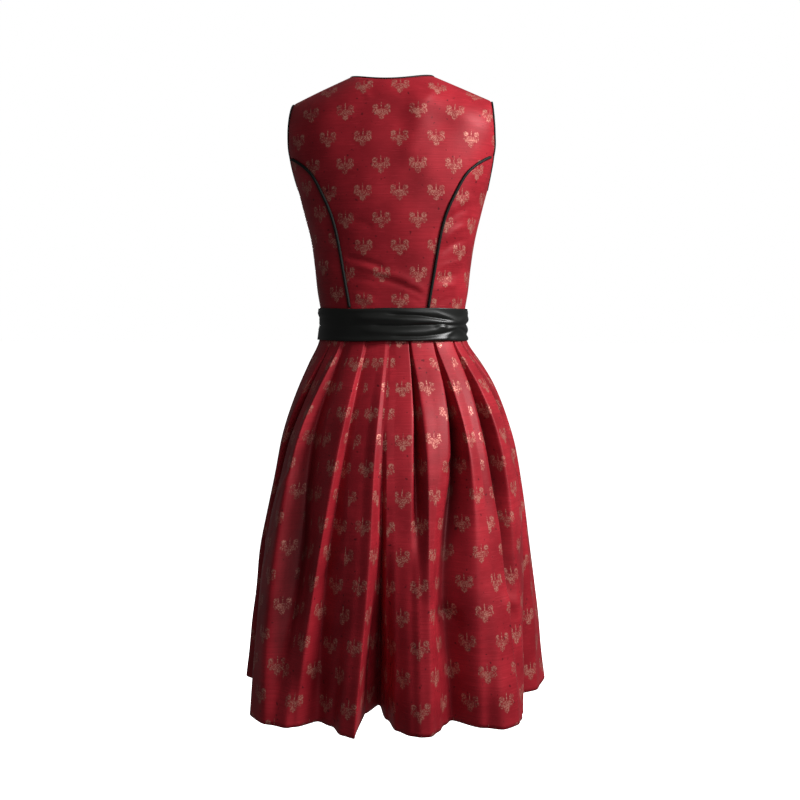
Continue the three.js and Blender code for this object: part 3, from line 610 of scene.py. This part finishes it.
def dress(piece, *nodes):
    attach(piece, "root")
    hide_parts(*nodes)


panels = {}
clothNames = {
    "back_centre": "backPanel", "back_side_left": "backSideLeft", "back_side_right": "backSideRight",
    "front_side_left": "frontSideLeft", "front_side_right": "frontSideRight",
    "front_centre_left": "frontPanelLeft", "front_centre_right": "frontPanelRight",
    "skirt_back": "skirtBackCloth", "skirt_front": "skirtFrontCloth", "sash": "sashBand",
    "piping_neck": "neckPiping", "piping_armhole_left": "armholePipingLeft",
    "piping_armhole_right": "armholePipingRight", "piping_back_left": "seamPipingLeft",
    "piping_back_right": "seamPipingRight",
}
backHalf, frontHalf = centrePlaces("back"), centrePlaces("front")
backSide, frontSide = sidePlaces("back"), sidePlaces("front")
wholeBack = np.concatenate([backHalf[1:][::-1] * np.array([-1, 1]), backHalf])
panels["back_centre"] = finishPanel(clothNames["back_centre"], wholeBack, 1, "back", (0, 0))
# each panel is cut from its own place in the cloth, so the sprigs don't run on over the seams
for side, word, shift in ((1, "right", (13, 7)), (-1, "left", (-9, -12))):
    for node, places, facing, moved in (
            ("back_side_" + word, backSide, "back", shift), ("front_side_" + word, frontSide, "front", shift),
            ("front_centre_" + word, frontHalf, "front", (side * 5, 3))):
        panels[node] = finishPanel(clothNames[node], places, side, facing, moved)
for name, piece in panels.items():
    dress(piece, name)
print("bodice made")

piping = {
    "seamRadius": 2.45, "edgeRadius": 1.55, "seamSunk": 0.9, "edgeGap": 0.35, "closingGap": 0.4,
    "seamFoot": -386.5, "seamHead": -140, "seamSteps": 90, "roundness": 3, "neckRounds": 3, "armholeRounds": 4,
    "neckMiddle": (0, 0, 60), "armholeMiddle": (-175, 0, -115),  # the cord lies on this side of the edge
    "normalStep": 0.004, "crestTilt": 0.6,
}


def placeNormals(turns, falls):
    step = piping["normalStep"]
    soft = np.maximum(falls, step)
    across = bodyPoint(turns + step, soft) - bodyPoint(turns - step, soft)
    down = bodyPoint(turns, falls + step) - bodyPoint(turns, np.maximum(falls - step, 0))
    normal = np.cross(down, across)
    normal = normal / np.linalg.norm(normal, axis=1, keepdims=True)
    out = np.stack([-np.sin(turns), np.cos(turns), piping["crestTilt"] * np.maximum(1 - falls, 0)], axis=1)
    return normal * np.where((normal * out).sum(axis=1, keepdims=True) < 0, -1, 1)


def makeCord(name, line, radius, closed):
    curve = bpy.data.curves.new(name, "CURVE")
    curve.dimensions = "3D"
    curve.bevel_depth = radius * mm
    curve.bevel_resolution = piping["roundness"]
    curve.use_fill_caps = True
    spline = curve.splines.new("POLY")
    spline.points.add(len(line) - 1)
    for point, place in zip(spline.points, line):
        point.co = (*(place * mm), 1)
    spline.use_cyclic_u = closed
    holder = bpy.data.objects.new(name + "Line", curve)
    bpy.context.collection.objects.link(holder)
    bpy.context.view_layer.update()
    mesh = bpy.data.meshes.new_from_object(holder.evaluated_get(bpy.context.evaluated_depsgraph_get()))
    bpy.data.objects.remove(holder)
    shape = bmesh.new()
    shape.from_mesh(mesh)
    bmesh.ops.remove_doubles(shape, verts=shape.verts, dist=weld)
    bmesh.ops.recalc_face_normals(shape, faces=shape.faces)
    for face in shape.faces:
        face.smooth = True
    shape.to_mesh(mesh)
    shape.free()
    mesh.name = name
    piece = bpy.data.objects.new(name, mesh)
    bpy.context.collection.objects.link(piece)
    piece.data.materials.clear()
    piece.data.materials.append(pipingMaterial)
    return piece


def besideEdge(places, middle, closed):
    turns, falls = places[:, 0], places[:, 1]
    points = bodyPoint(turns, falls)
    if closed:
        tangent = np.roll(points, -1, 0) - np.roll(points, 1, 0)
    else:
        tangent = np.gradient(points, axis=0)
    normal = placeNormals(turns, falls)
    off = np.cross(tangent, normal)
    off = off / np.linalg.norm(off, axis=1, keepdims=True)
    off = off * np.where((off * (middle - points)).sum(axis=1, keepdims=True) < 0, -1, 1)
    return points - normal * (bodice["cloth"] / 2) + off * (piping["edgeRadius"] + piping["edgeGap"])


def smoothLine(points, rounds, closed):
    for _ in range(rounds):
        if closed:
            points = (np.roll(points, 1, 0) + points * 2 + np.roll(points, -1, 0)) / 4
        else:
            points[1:-1] = (points[:-2] + points[1:-1] * 2 + points[2:]) / 4
    return points


seamRows = panelCounts["seamRows"]
neckBack = backHalf[:panelCounts["back"]["neckColumns"] + 1, -1]
neckFront = frontHalf[0, seamRows + panelCounts["front"]["centreRows"]:]
neckRight = besideEdge(np.concatenate([neckFront, neckBack[:-1][::-1]]), piping["neckMiddle"], False)
neckLine = np.concatenate([neckRight, (neckRight[:-1] * mirror)[::-1]])
neckLine[0, 0], neckLine[-1, 0] = -piping["closingGap"] / 2, piping["closingGap"] / 2
neckLine = smoothLine(neckLine, piping["neckRounds"], False)
cords = {"piping_neck": makeCord(clothNames["piping_neck"], neckLine, piping["edgeRadius"], False)}
armhole = np.concatenate([backSide[1:, -1][::-1], backHalf[-1, seamRows:], frontHalf[-1, seamRows:-1][::-1],
                          frontSide[1:-1, -1]])
armLine = smoothLine(besideEdge(armhole, piping["armholeMiddle"], True), piping["armholeRounds"], True)
seamPlaces = edgePlaces(cuts["back"], "back", piping["seamFoot"], piping["seamHead"], piping["seamSteps"])
seamTurns, seamFalls = seamPlaces[:, 0], seamPlaces[:, 1]
seamLift = piping["seamRadius"] - piping["seamSunk"]
seamLine = bodyPoint(seamTurns, seamFalls) + placeNormals(seamTurns, seamFalls) * seamLift
for side, word in ((1, "right"), (-1, "left")):
    turned = np.array([side, 1, 1])
    name = "piping_armhole_" + word
    cords[name] = makeCord(clothNames[name], armLine * turned, piping["edgeRadius"], True)
    name = "piping_back_" + word
    cords[name] = makeCord(clothNames[name], seamLine * turned, piping["seamRadius"], False)
for name, piece in cords.items():
    dress(piece, name)
print("piping made")

skirt = {
    "waist": -417.4, "hem": -1010, "foldTop": -446, "cloth": 0.9, "sideSeams": (-93, 93),
    "rows": 112, "rowCrowding": 1.12,  # the rows lie closer at the waist
    "columnStep": 3.4, "leastColumns": 5, "columnSlack": 8, "hemRadius": 250,
    "softness": (0.05, 1), "softening": 0.8,  # from flat pleats at the waist to round ones at the hem
    "rounding": (0.048, 0.448), "rounds": 6,
    "anchorRow": 60,  # the row that tells which of two fold lines lies outside
    # how far round a crest is sought, and the painted shade inside the folds: where it starts, its depth,
    # strength, smoothing and fade near the hem
    "crestReach": 24, "paintedShadeFrom": 3, "paintedShadeDepth": 26, "paintedShadeStrength": 0.85, "paintedShadeRounds": 3,
    "paintedShadeFade": ((-1010, -960, -740), (0.15, 0.25, 1)),
    "uneven": 1.6, "creaseRadius": 200, "looseFrom": -455, "looseReach": 120,
    "seamGroove": 0.8, "seamWidth": 1.8, "inside": (0, 0, -0.7),
}
skirtSections = table("z halfWidth back front squareness", [
    (-417, 120.5, 88.5, 98.5, 2.3),
    (-446, 126, 94, 104, 2.2),
    (-480, 145, 113, 120, 2.1),
    (-517, 163, 135, 138, 2.1),
    (-571, 184, 163, 160, 2.15),
    (-625, 199, 184, 179, 2.2),
    (-734, 220, 213, 205, 2.3),
    (-843, 236, 236, 224, 2.4),
    (-952, 250, 255, 239, 2.45),
    (-1010, 257, 262, 245, 2.45),
])
foldHeights = {"waist": -446, "middle": -590, "lower": -790, "hem": -1010}
# angles in degrees from the centre back, towards the wearer's right, and how far each line lies inside;
# the lines that are seen most have a fourth level, the lower one
foldLines = table("waist middle hem waistIn middleIn hemIn lower lowerIn", [
    (-180, -180, -180, 4, 38, 88),
    (-178.6, -177, -173.5, 0, 3, 20),
    (-165.5, -168, -168, 0, 0, 0),
    (-164.7, -165.5, -163, 4, 22, 22),
    (-164, -162, -158, 0, 3, 30),
    (-149, -155, -153, 0, 1, 44),
    (-148.2, -151.5, -149, 4, 30, 56),
    (-147.5, -146, -143, 0, 3, 12),
    (-131, -139, -138, 0, 0, 0),
    (-130.2, -136, -134, 4, 24, 12),
    (-129.5, -132, -130, 0, 3, 2),
    (-113, -123, -125, 0, 0, 18),
    (-112.2, -119, -119, 4, 30, 50),
    (-111.5, -113, -113, 0, 3, 14),
    (-94.4, -103, -107, 0, 0, -8),
    (-93.6, -98.5, -101, 4, 22, 6),
    (-93, -94.5, -95, 0, 2, 0),
    (-76.4, -86, -84, 0, 0, 6),
    (-75.6, -82, -79, 4, 24, 24),
    (-75, -77, -74, 0, 2, 40),
    (-58.4, -68, -68, 0, 1, 52, -71, 14),
    (-57.5, -69, -61, 4, 18, 50, -66, 18),
    (-56.8, -60, -52, 0, 4, 8, -59.5, 6),
    (-50, -54.5, -46, 0, 2, -9, -53, 1),
    (-45.8, -48.6, -38.5, -1, -4, -13, -45, -6),
    (-45, -47.5, -34, 4, 24, -6, -39.5, 32),
    (-35, -36.2, -30.5, 0, 12, -5, -34, 22),
    (-23.5, -22.8, -28.5, 0, 0, 6, -25.2, 0),
    (-22.5, -22, -24.5, 5, 16, 40, -24.6, 26),
    (-16, -17.2, -18, 3, 12, 29, -15.5, 14),
    (-9, -10, -11.5, 1.5, 8, 0, -9.2, 6),
    (-2.8, -4.2, -7, 0, 0, -9, -4.8, 0),
    (-0.2, -1.8, -9.5, 1.2, 6, 86, -3, 26),
    (1.2, -0.8, -4.5, 1.6, 7, 122, -1, 42),
    (2.8, 1.5, 2, 1, 5, 64, 1.8, 22),
    (7.5, 5.5, 5.5, 0, 6, 25, 5.8, 15),
    (20, 15.3, 10.5, 1, 4, 6, 11.5, 9),
    (20.6, 17.2, 13.5, 7, 32, 1, 14.4, 5),
    (21.8, 20.6, 16.5, -1, -5, 2, 18, -2),
    (31, 26.8, 20, 0, -1, 19, 20, 5),
    (42, 33.2, 24, 0, 2, 42, 22.5, 20),
    (43, 41.5, 28.5, 7, 41, 57, 27, 38),
    (44.2, 42.2, 35.5, 0, 0, 12, 37.5, 0),
    (51.5, 48, 40, 0, 3.5, -9, 43.2, 0),
    (60.5, 51.5, 45.5, 0, 1, -9, 49.8, 0),
    (61.5, 63, 49.5, 9, 34, -1, 54, 20),
    (62.7, 63, 54, 0, 0, 10, 58, 0),
    (70, 76, 62, 0, 1, 38, 72, 8),
    (71.8, 79.5, 69, 10, 24, 42, 78, 16),
    (74, 85, 79, 0, 0, 12, 83, 4),
    (93, 95, 93, 0, 1, 0),
    (93.8, 100, 101, 4, 22, 14),
    (94.6, 104, 108, 0, 0, 44),
    (111.5, 113.5, 114, 0, 3, 50),
    (112.2, 118.5, 120, 4, 28, 30),
    (113, 123, 126, 0, 0, 2),
    (129.5, 132, 133, 0, 3, 0),
    (130.2, 136, 138, 4, 24, 14),
    (131, 140, 143, 0, 0, 46),
    (147.5, 147, 148, 0, 3, 56),
    (148.2, 152, 154, 4, 30, 22),
    (149, 156, 159, 0, 0, 0),
    (164, 163, 165, 0, 3, 4),
    (164.8, 166, 168.5, 4, 22, 12),
    (165.6, 169, 171, 0, 0, 8),
    (178.6, 177, 174.5, 0, 3, 30),
])
skirtLean = table("z left right", [  # how much wider the skirt hangs at either side, mm
    (-446, 0, 1),
    (-520, -5, 9),
    (-650, -5, 10),
    (-780, -1, 4),
    (-900, -3, 2),
    (-1010, -4, 0),
])


def ringRadius(angle, halfWidth, back, front, power):  # a rounded oblong about the middle line
    depth = np.where(np.cos(angle) > 0, back, front)
    sideways, along = np.abs(np.sin(angle)) / halfWidth, np.abs(np.cos(angle)) / depth
    return (sideways ** power + along ** power) ** (-1 / power)


def outlineRadius(angle, z):
    keys = ("halfWidth", "back", "front", "squareness")
    return ringRadius(angle, *[follow(skirtSections, key, z) for key in keys])


def foldValue(line, ending, z):
    rows = [{"z": height, "value": line[key + ending]}
            for key, height in foldHeights.items() if key + ending in line]
    return np.where(z > skirt["foldTop"], rows[0]["value"], follow(rows, "value", z))


def makeSkirt():
    heights = mix(skirt["waist"], skirt["hem"], np.linspace(0, 1, skirt["rows"] + 1) ** skirt["rowCrowding"])
    depth = np.clip((skirt["foldTop"] - heights) / (skirt["foldTop"] - skirt["hem"]), 0, 1) ** skirt["softening"]
    softness = mix(*skirt["softness"], depth)
    angles = [foldValue(line, "", heights) * degree for line in foldLines]
    insides = [foldValue(line, "In", heights) for line in foldLines]
    angles.append(angles[0] + 2 * math.pi)
    insides.append(insides[0])
    columns, starts = [], []
    for index in range(len(foldLines)):
        around = abs(angles[index + 1][-1] - angles[index][-1]) * skirt["hemRadius"]
        width = around + abs(insides[index + 1][-1] - insides[index][-1])
        middle = abs(insides[index + 1] - insides[index]).max() + skirt["columnSlack"]
        count = max(int(max(width, middle) / skirt["columnStep"]), skirt["leastColumns"])
        starts.append(len(columns))
        for step in range(count):
            share = step / count
            angle = mix(angles[index], angles[index + 1], share)
            inside = mix(insides[index], insides[index + 1], mix(share, ease(share), softness))
            side = np.sin(angle)
            lean = np.where(side > 0, follow(skirtLean, "right", heights), follow(skirtLean, "left", heights))
            radius = outlineRadius(angle, heights) + lean * side ** 2 - inside
            columns.append(np.stack([-np.sin(angle) * radius, np.cos(angle) * radius, heights], axis=1))
    starts.append(len(columns))
    points = np.array(columns)
    for _ in range(skirt["rounds"]):  # rounds the fold edges, more towards the hem
        near = (np.roll(points, 1, 0) + np.roll(points, -1, 0)) / 2
        points = points + (near - points) * mix(*skirt["rounding"], depth)[None, :, None]
    points[..., 2] = heights[None]
    return points, starts, insides


def paintedShadeShares(points):  # painted shade: how far each point lies behind the pleats either side of it, 0 to 1
    radius = np.hypot(points[..., 0], points[..., 1])
    crest = radius.copy()
    for step in range(1, skirt["crestReach"] + 1):
        crest = np.maximum(crest, np.minimum(np.roll(radius, step, 0), np.roll(radius, -step, 0)))
    paintedShade = np.clip((crest - radius - skirt["paintedShadeFrom"]) / skirt["paintedShadeDepth"], 0, 1)
    for _ in range(skirt["paintedShadeRounds"]):
        paintedShade = (np.roll(paintedShade, 1, 0) + 2 * paintedShade + np.roll(paintedShade, -1, 0)) / 4
    return paintedShade * skirt["paintedShadeStrength"] * np.interp(points[..., 2], *skirt["paintedShadeFade"])


def skirtUv(points, starts, insides):
    # cloth length is measured from each pleat's outer edge, so the pattern is cut in the hollows
    count = len(points)
    ring = np.concatenate([points, points[:1]])
    steps = np.linalg.norm(np.diff(ring, axis=0), axis=2)
    walked = np.concatenate([np.zeros((1, points.shape[1])), np.cumsum(steps, axis=0)])
    downs = np.linalg.norm(np.diff(points, axis=1), axis=2)
    fallen = np.concatenate([np.zeros((count, 1)), np.cumsum(downs, axis=1)], axis=1)
    fallen = np.concatenate([fallen, fallen[:1]])
    uv = []
    for index in range(len(starts) - 1):
        first, last = starts[index], starts[index + 1]
        row = skirt["anchorRow"]
        anchor = first if insides[index][row] <= insides[index + 1][row] else last
        u = walked[first:last + 1] - walked[anchor][None] + walked[anchor, -1]
        v = -fallen[anchor][None] + np.zeros_like(u)
        for column in range(last - first):
            uv.append(tuple(np.stack([u[k], v[k]], axis=1) for k in (column, column + 1)))
    return uv


# creases of the skirt: ends (angle, z), half width in mm, height
skirtCreases = table("from to wide rise", [
    ((27, -655), (41, -612), 7, -3.0),
    ((60, -770), (72, -738), 9, 3.5),
    ((20, -842), (34, -862), 9, -3.0),
    ((44, -836), (62, -852), 10, 3.0),
    ((-58, -700), (-46, -650), 8, 2.4),
    ((-84, -790), (-70, -752), 9, -2.6),
    ((-24, -800), (-14, -760), 8, 2.4),
    ((120, -700), (134, -660), 8, 2.8),
    ((150, -810), (166, -790), 9, -2.8),
    ((-150, -690), (-138, -650), 8, 2.6),
    ((-120, -830), (-104, -806), 9, -2.6),
    ((-172, -760), (-160, -730), 8, 2.4),
])


def skirtRelief(points):
    angle = np.arctan2(-points[..., 0], points[..., 1])
    z = points[..., 2]
    radius = np.hypot(points[..., 0], points[..., 1])
    relief = np.zeros_like(z)
    for crease in skirtCreases:
        (fromAngle, fromZ), (toAngle, toZ) = crease["from"], crease["to"]
        turned = (angle - fromAngle * degree + math.pi) % (2 * math.pi) - math.pi
        reach = (toAngle - fromAngle) * degree * skirt["creaseRadius"]
        laid = {**crease, "from": (0, fromZ), "to": (reach, toZ)}
        relief = relief + creaseRelief([laid], turned * radius, z)
    wave = unevenness(angle * 180, z, skirt["uneven"]) + unevenness(-angle * 330, z * 0.6, skirt["uneven"] * 0.7)
    return (relief + wave) * np.clip((skirt["looseFrom"] - z) / skirt["looseReach"], 0, 1)


points, starts, insides = makeSkirt()
# painted shade: the skirt's colour darkens deep inside its folds
paintedShade = paintedShadeShares(points)
normals = gridNormals(points, closed=True)
radial = points * np.array([1, 1, 0])
normals = normals * np.sign((normals * radial).sum(axis=2).mean())
points = points + normals * skirtRelief(points)[..., None]
uv = skirtUv(points, starts, insides)
waistAngles = [line["waist"] for line in foldLines]
leftSeam = starts[waistAngles.index(skirt["sideSeams"][0])]
rightSeam = starts[waistAngles.index(skirt["sideSeams"][1])]
ringOrder = {"skirt_back": range(leftSeam, rightSeam + 1),
             "skirt_front": [k % len(points) for k in range(rightSeam, leftSeam + len(points) + 1)]}
for name, order in ringOrder.items():
    order = list(order)
    chosen = points[order]
    groove = -skirt["seamGroove"] * np.exp(-(edgeDistance(chosen) / skirt["seamWidth"]) ** 2)
    chosen = chosen + normals[order] * groove[..., None]
    piece = clothGrid(clothNames[name], chosen, [uv[k] for k in order[:-1]], paintedShade=paintedShade[order])
    pointsOutwards(piece, skirt["inside"])
    thicken(piece, skirt["cloth"])
    piece.data.materials.append(brocadeMaterial)
    dress(piece, name)
print("skirt made")

sash = {
    "top": -388, "bottom": -441, "clearance": 2.4, "cloth": 1.0, "columns": 420, "rows": 60,
    "bulge": 1.2, "rounds": 3, "deepest": -2.2, "foldReach": 14, "uvRadius": 110, "inside": (0, 0, -0.417),
    "lapAngle": 52, "lapSlant": 32, "lapLength": 90, "lapFade": 80, "lapEdge": 0.7, "lapRise": 1.7,
    "lapTop": 0.44, "lapTopFade": 0.08,  # the wrapped end covers the lower part of the band
    "slowWaves": ((0.35, 3, 5, 0), (0.25, 7, -4, 1)),  # height in mm, waves round and up the band, start
    "edgeWaves": ((0.6, 3, 0.4), (0.36, 7, 2.1)),  # the band's edges aren't quite level
}
# soft folds along the band: their line (degrees, share of the height), half width as a share, rise in mm.
# They draw together at the wearer's right, and again thinly over the front
sashLines = table("line wide rise", [
    ([(-48, 0.95), (10, 0.93), (44, 0.84), (66, 0.62), (90, 0.86), (150, 0.93)], 0.065, 1.3),
    ([(-4, 0.80), (14, 0.785), (30, 0.77), (62, 0.60)], 0.034, -2.6),
    ([(-36, 0.70), (-8, 0.70), (28, 0.63), (50, 0.56), (66, 0.53), (96, 0.66), (140, 0.72)], 0.12, 3.0),
    ([(-20, 0.48), (12, 0.44), (40, 0.50), (66, 0.475), (88, 0.50), (130, 0.49)], 0.036, -2.0),
    ([(-30, 0.34), (4, 0.28), (34, 0.30), (58, 0.42), (84, 0.33), (150, 0.27)], 0.10, 1.8),
    ([(0, 0.14), (30, 0.12), (50, 0.22), (66, 0.40), (84, 0.18), (124, 0.12)], 0.04, -1.7),
    ([(-70, 0.05), (0, 0.05), (60, 0.06), (120, 0.05)], 0.05, 1.1),
    ([(43, 0.43), (48, 0.455), (54, 0.44)], 0.055, 3.0),
    ([(160, 0.62), (196, 0.56), (240, 0.64), (286, 0.60)], 0.05, -1.4),
    ([(150, 0.30), (190, 0.36), (236, 0.30), (270, 0.36)], 0.045, -1.3),
    ([(176, 0.84), (214, 0.80), (262, 0.85), (300, 0.83)], 0.06, 1.2),
    ([(250, 0.72), (280, 0.70), (306, 0.76)], 0.03, -1.4),
    ([(264, 0.42), (284, 0.44), (304, 0.40)], 0.04, -0.9),
])


def sashFolds(angle, height):
    degrees = angle / degree
    relief = np.zeros_like(angle)
    for fold in sashLines:
        stops, shares = np.array(fold["line"], float).T
        around = stops[0] - 90 + (degrees - stops[0] + 90) % 360
        middle = np.interp(around, stops, shares)
        reach = min(sash["foldReach"], (stops[-1] - stops[0]) / 3)
        ends = np.clip((around - stops[0]) / reach, 0, 1) * np.clip((stops[-1] - around) / reach, 0, 1)
        relief = relief + fold["rise"] * ease(ends) * np.exp(-((height - middle) / fold["wide"]) ** 2)
    # the wrapped end lies over the band, with its edge slanting up to the gather
    past = (degrees - sash["lapAngle"] - height * sash["lapSlant"] + 180) % 360 - 180
    step = np.where(past < -sash["lapLength"], 0, 1 / (1 + np.exp(past / sash["lapEdge"])))
    step = step * np.clip((past + sash["lapLength"]) / sash["lapFade"], 0, 1)
    step = step * np.clip((sash["lapTop"] - height) / sash["lapTopFade"], 0, 1)
    slow = sum(rise * np.sin(angle * turns + height * up + start) for rise, turns, up, start in sash["slowWaves"])
    return relief + sash["lapRise"] * step + slow


def bandRadius(angle, z):  # the bodice's form above the waist, the skirt's below it
    above = z > bodice["waist"]
    sizes = [np.where(above, follow(bodySections, key, z), follow(skirtSections, key, z))
             for key in ("halfWidth", "back", "front")]
    power = np.where(above, bodice["squareness"], follow(skirtSections, "squareness", z))
    return ringRadius(angle, *sizes, power)


angle, height = np.meshgrid(np.linspace(0, 2 * math.pi, sash["columns"] + 1), np.linspace(0, 1, sash["rows"] + 1),
                            indexing="ij")
wander = sum(rise * np.sin(angle * turns + start) for rise, turns, start in sash["edgeWaves"])
z = mix(sash["bottom"], sash["top"], height) + wander * np.abs(2 * height - 1) ** 3
radius = bandRadius(angle, z) + sash["clearance"] + sash["cloth"] + sash["bulge"] * np.sin(math.pi * height) ** 0.5
folds = sashFolds(angle, height)
for _ in range(sash["rounds"]):
    folds[:, 1:-1] = (folds[:, :-2] + 2 * folds[:, 1:-1] + folds[:, 2:]) / 4
    ringed = folds[:-1]
    folds[:-1] = (np.roll(ringed, 1, 0) + 2 * ringed + np.roll(ringed, -1, 0)) / 4
    folds[-1] = folds[0]
radius = radius + np.maximum(folds, sash["deepest"])
sashPoints = np.stack([-np.sin(angle) * radius, np.cos(angle) * radius, z], axis=2)
sashPiece = clothGrid(clothNames["sash"], sashPoints, plainUv(angle * sash["uvRadius"], z), closed=True)
pointsOutwards(sashPiece, sash["inside"])
thicken(sashPiece, sash["cloth"])
sashPiece.data.materials.append(sashMaterial)
dress(sashPiece, "sash")
print("sash made")

stage = {"floorZ": -1.42, "size": 60, "floor": (0.9, 0.9, 0.9, 1), "glow": 1.25, "ambient": 0.10, "seen": 1.0}
floorShape = bmesh.new()
bmesh.ops.create_grid(floorShape, x_segments=1, y_segments=1, size=stage["size"] / 2)
for vertex in floorShape.verts:
    vertex.co.z = stage["floorZ"]
floorMesh = bpy.data.meshes.new("floor")
floorShape.to_mesh(floorMesh)
floorShape.free()
floor = bpy.data.objects.new("floor", floorMesh)
bpy.context.collection.objects.link(floor)
floorBook = MaterialBook("paleFloor")
floor.data.materials.append(floorBook.surface(baseColor=stage["floor"], roughness=0.9,
                                              emission=stage["floor"], emissionStrength=stage["glow"]))
floor.visible_diffuse = floor.visible_glossy = False  # a white floor would light the pleats from below

world = bpy.data.worlds.new("studio")
world.use_nodes = True
worldTree = world.node_tree
background = worldTree.nodes["Background"]
background.inputs["Color"].default_value = (1, 1, 1, 1)
path = worldTree.nodes.new("ShaderNodeLightPath")
strength = worldTree.nodes.new("ShaderNodeMapRange")
strength.inputs["To Min"].default_value = stage["ambient"]
strength.inputs["To Max"].default_value = stage["seen"]
worldTree.links.new(path.outputs["Is Camera Ray"], strength.inputs["Value"])
worldTree.links.new(strength.outputs["Result"], background.inputs["Strength"])
bpy.context.scene.world = world

# azimuth as the camera's, in degrees; distance from the middle line and heights in metres
lights = table("name azimuth distance height aimsAt size watts", [
    ("key", 247, 1.7, 0.62, -0.42, 0.7, 53),
    ("fill", 207, 3.0, 0.4, -0.5, 1.6, 18),
    ("front", 8, 2.6, 0.05, -0.4, 1.2, 46),
])
for row in lights:
    lamp = bpy.data.lights.new(row["name"], "AREA")
    lamp.shape = "DISK"
    lamp.energy = row["watts"]
    lamp.size = row["size"]
    holder = bpy.data.objects.new(row["name"], lamp)
    turn = row["azimuth"] * degree
    holder.location = (math.sin(turn) * row["distance"], -math.cos(turn) * row["distance"], row["height"])
    towards = holder.location - Vector((0, 0, row["aimsAt"]))
    holder.rotation_euler = towards.to_track_quat("Z", "Y").to_euler()
    bpy.context.collection.objects.link(holder)

camera = {
    "azimuth": 184.5, "distance": 1.75, "height": -0.391, "shift": (0.009, -0.1125),
    "pixelFocus": 1029, "pixelWidth": 800, "sensor": 36,
}
lens = bpy.data.cameras.new("camera")
lens.sensor_width = camera["sensor"]
lens.lens = camera["pixelFocus"] * camera["sensor"] / camera["pixelWidth"]
lens.shift_x, lens.shift_y = camera["shift"]
viewer = bpy.data.objects.new("camera", lens)
turn = camera["azimuth"] * degree
viewer.location = (math.sin(turn) * camera["distance"], -math.cos(turn) * camera["distance"], camera["height"])
viewer.rotation_euler = (math.pi / 2, 0, turn)
bpy.context.collection.objects.link(viewer)
scene = bpy.context.scene
scene.camera = viewer
scene.view_settings.view_transform = "Standard"
print("stage set")
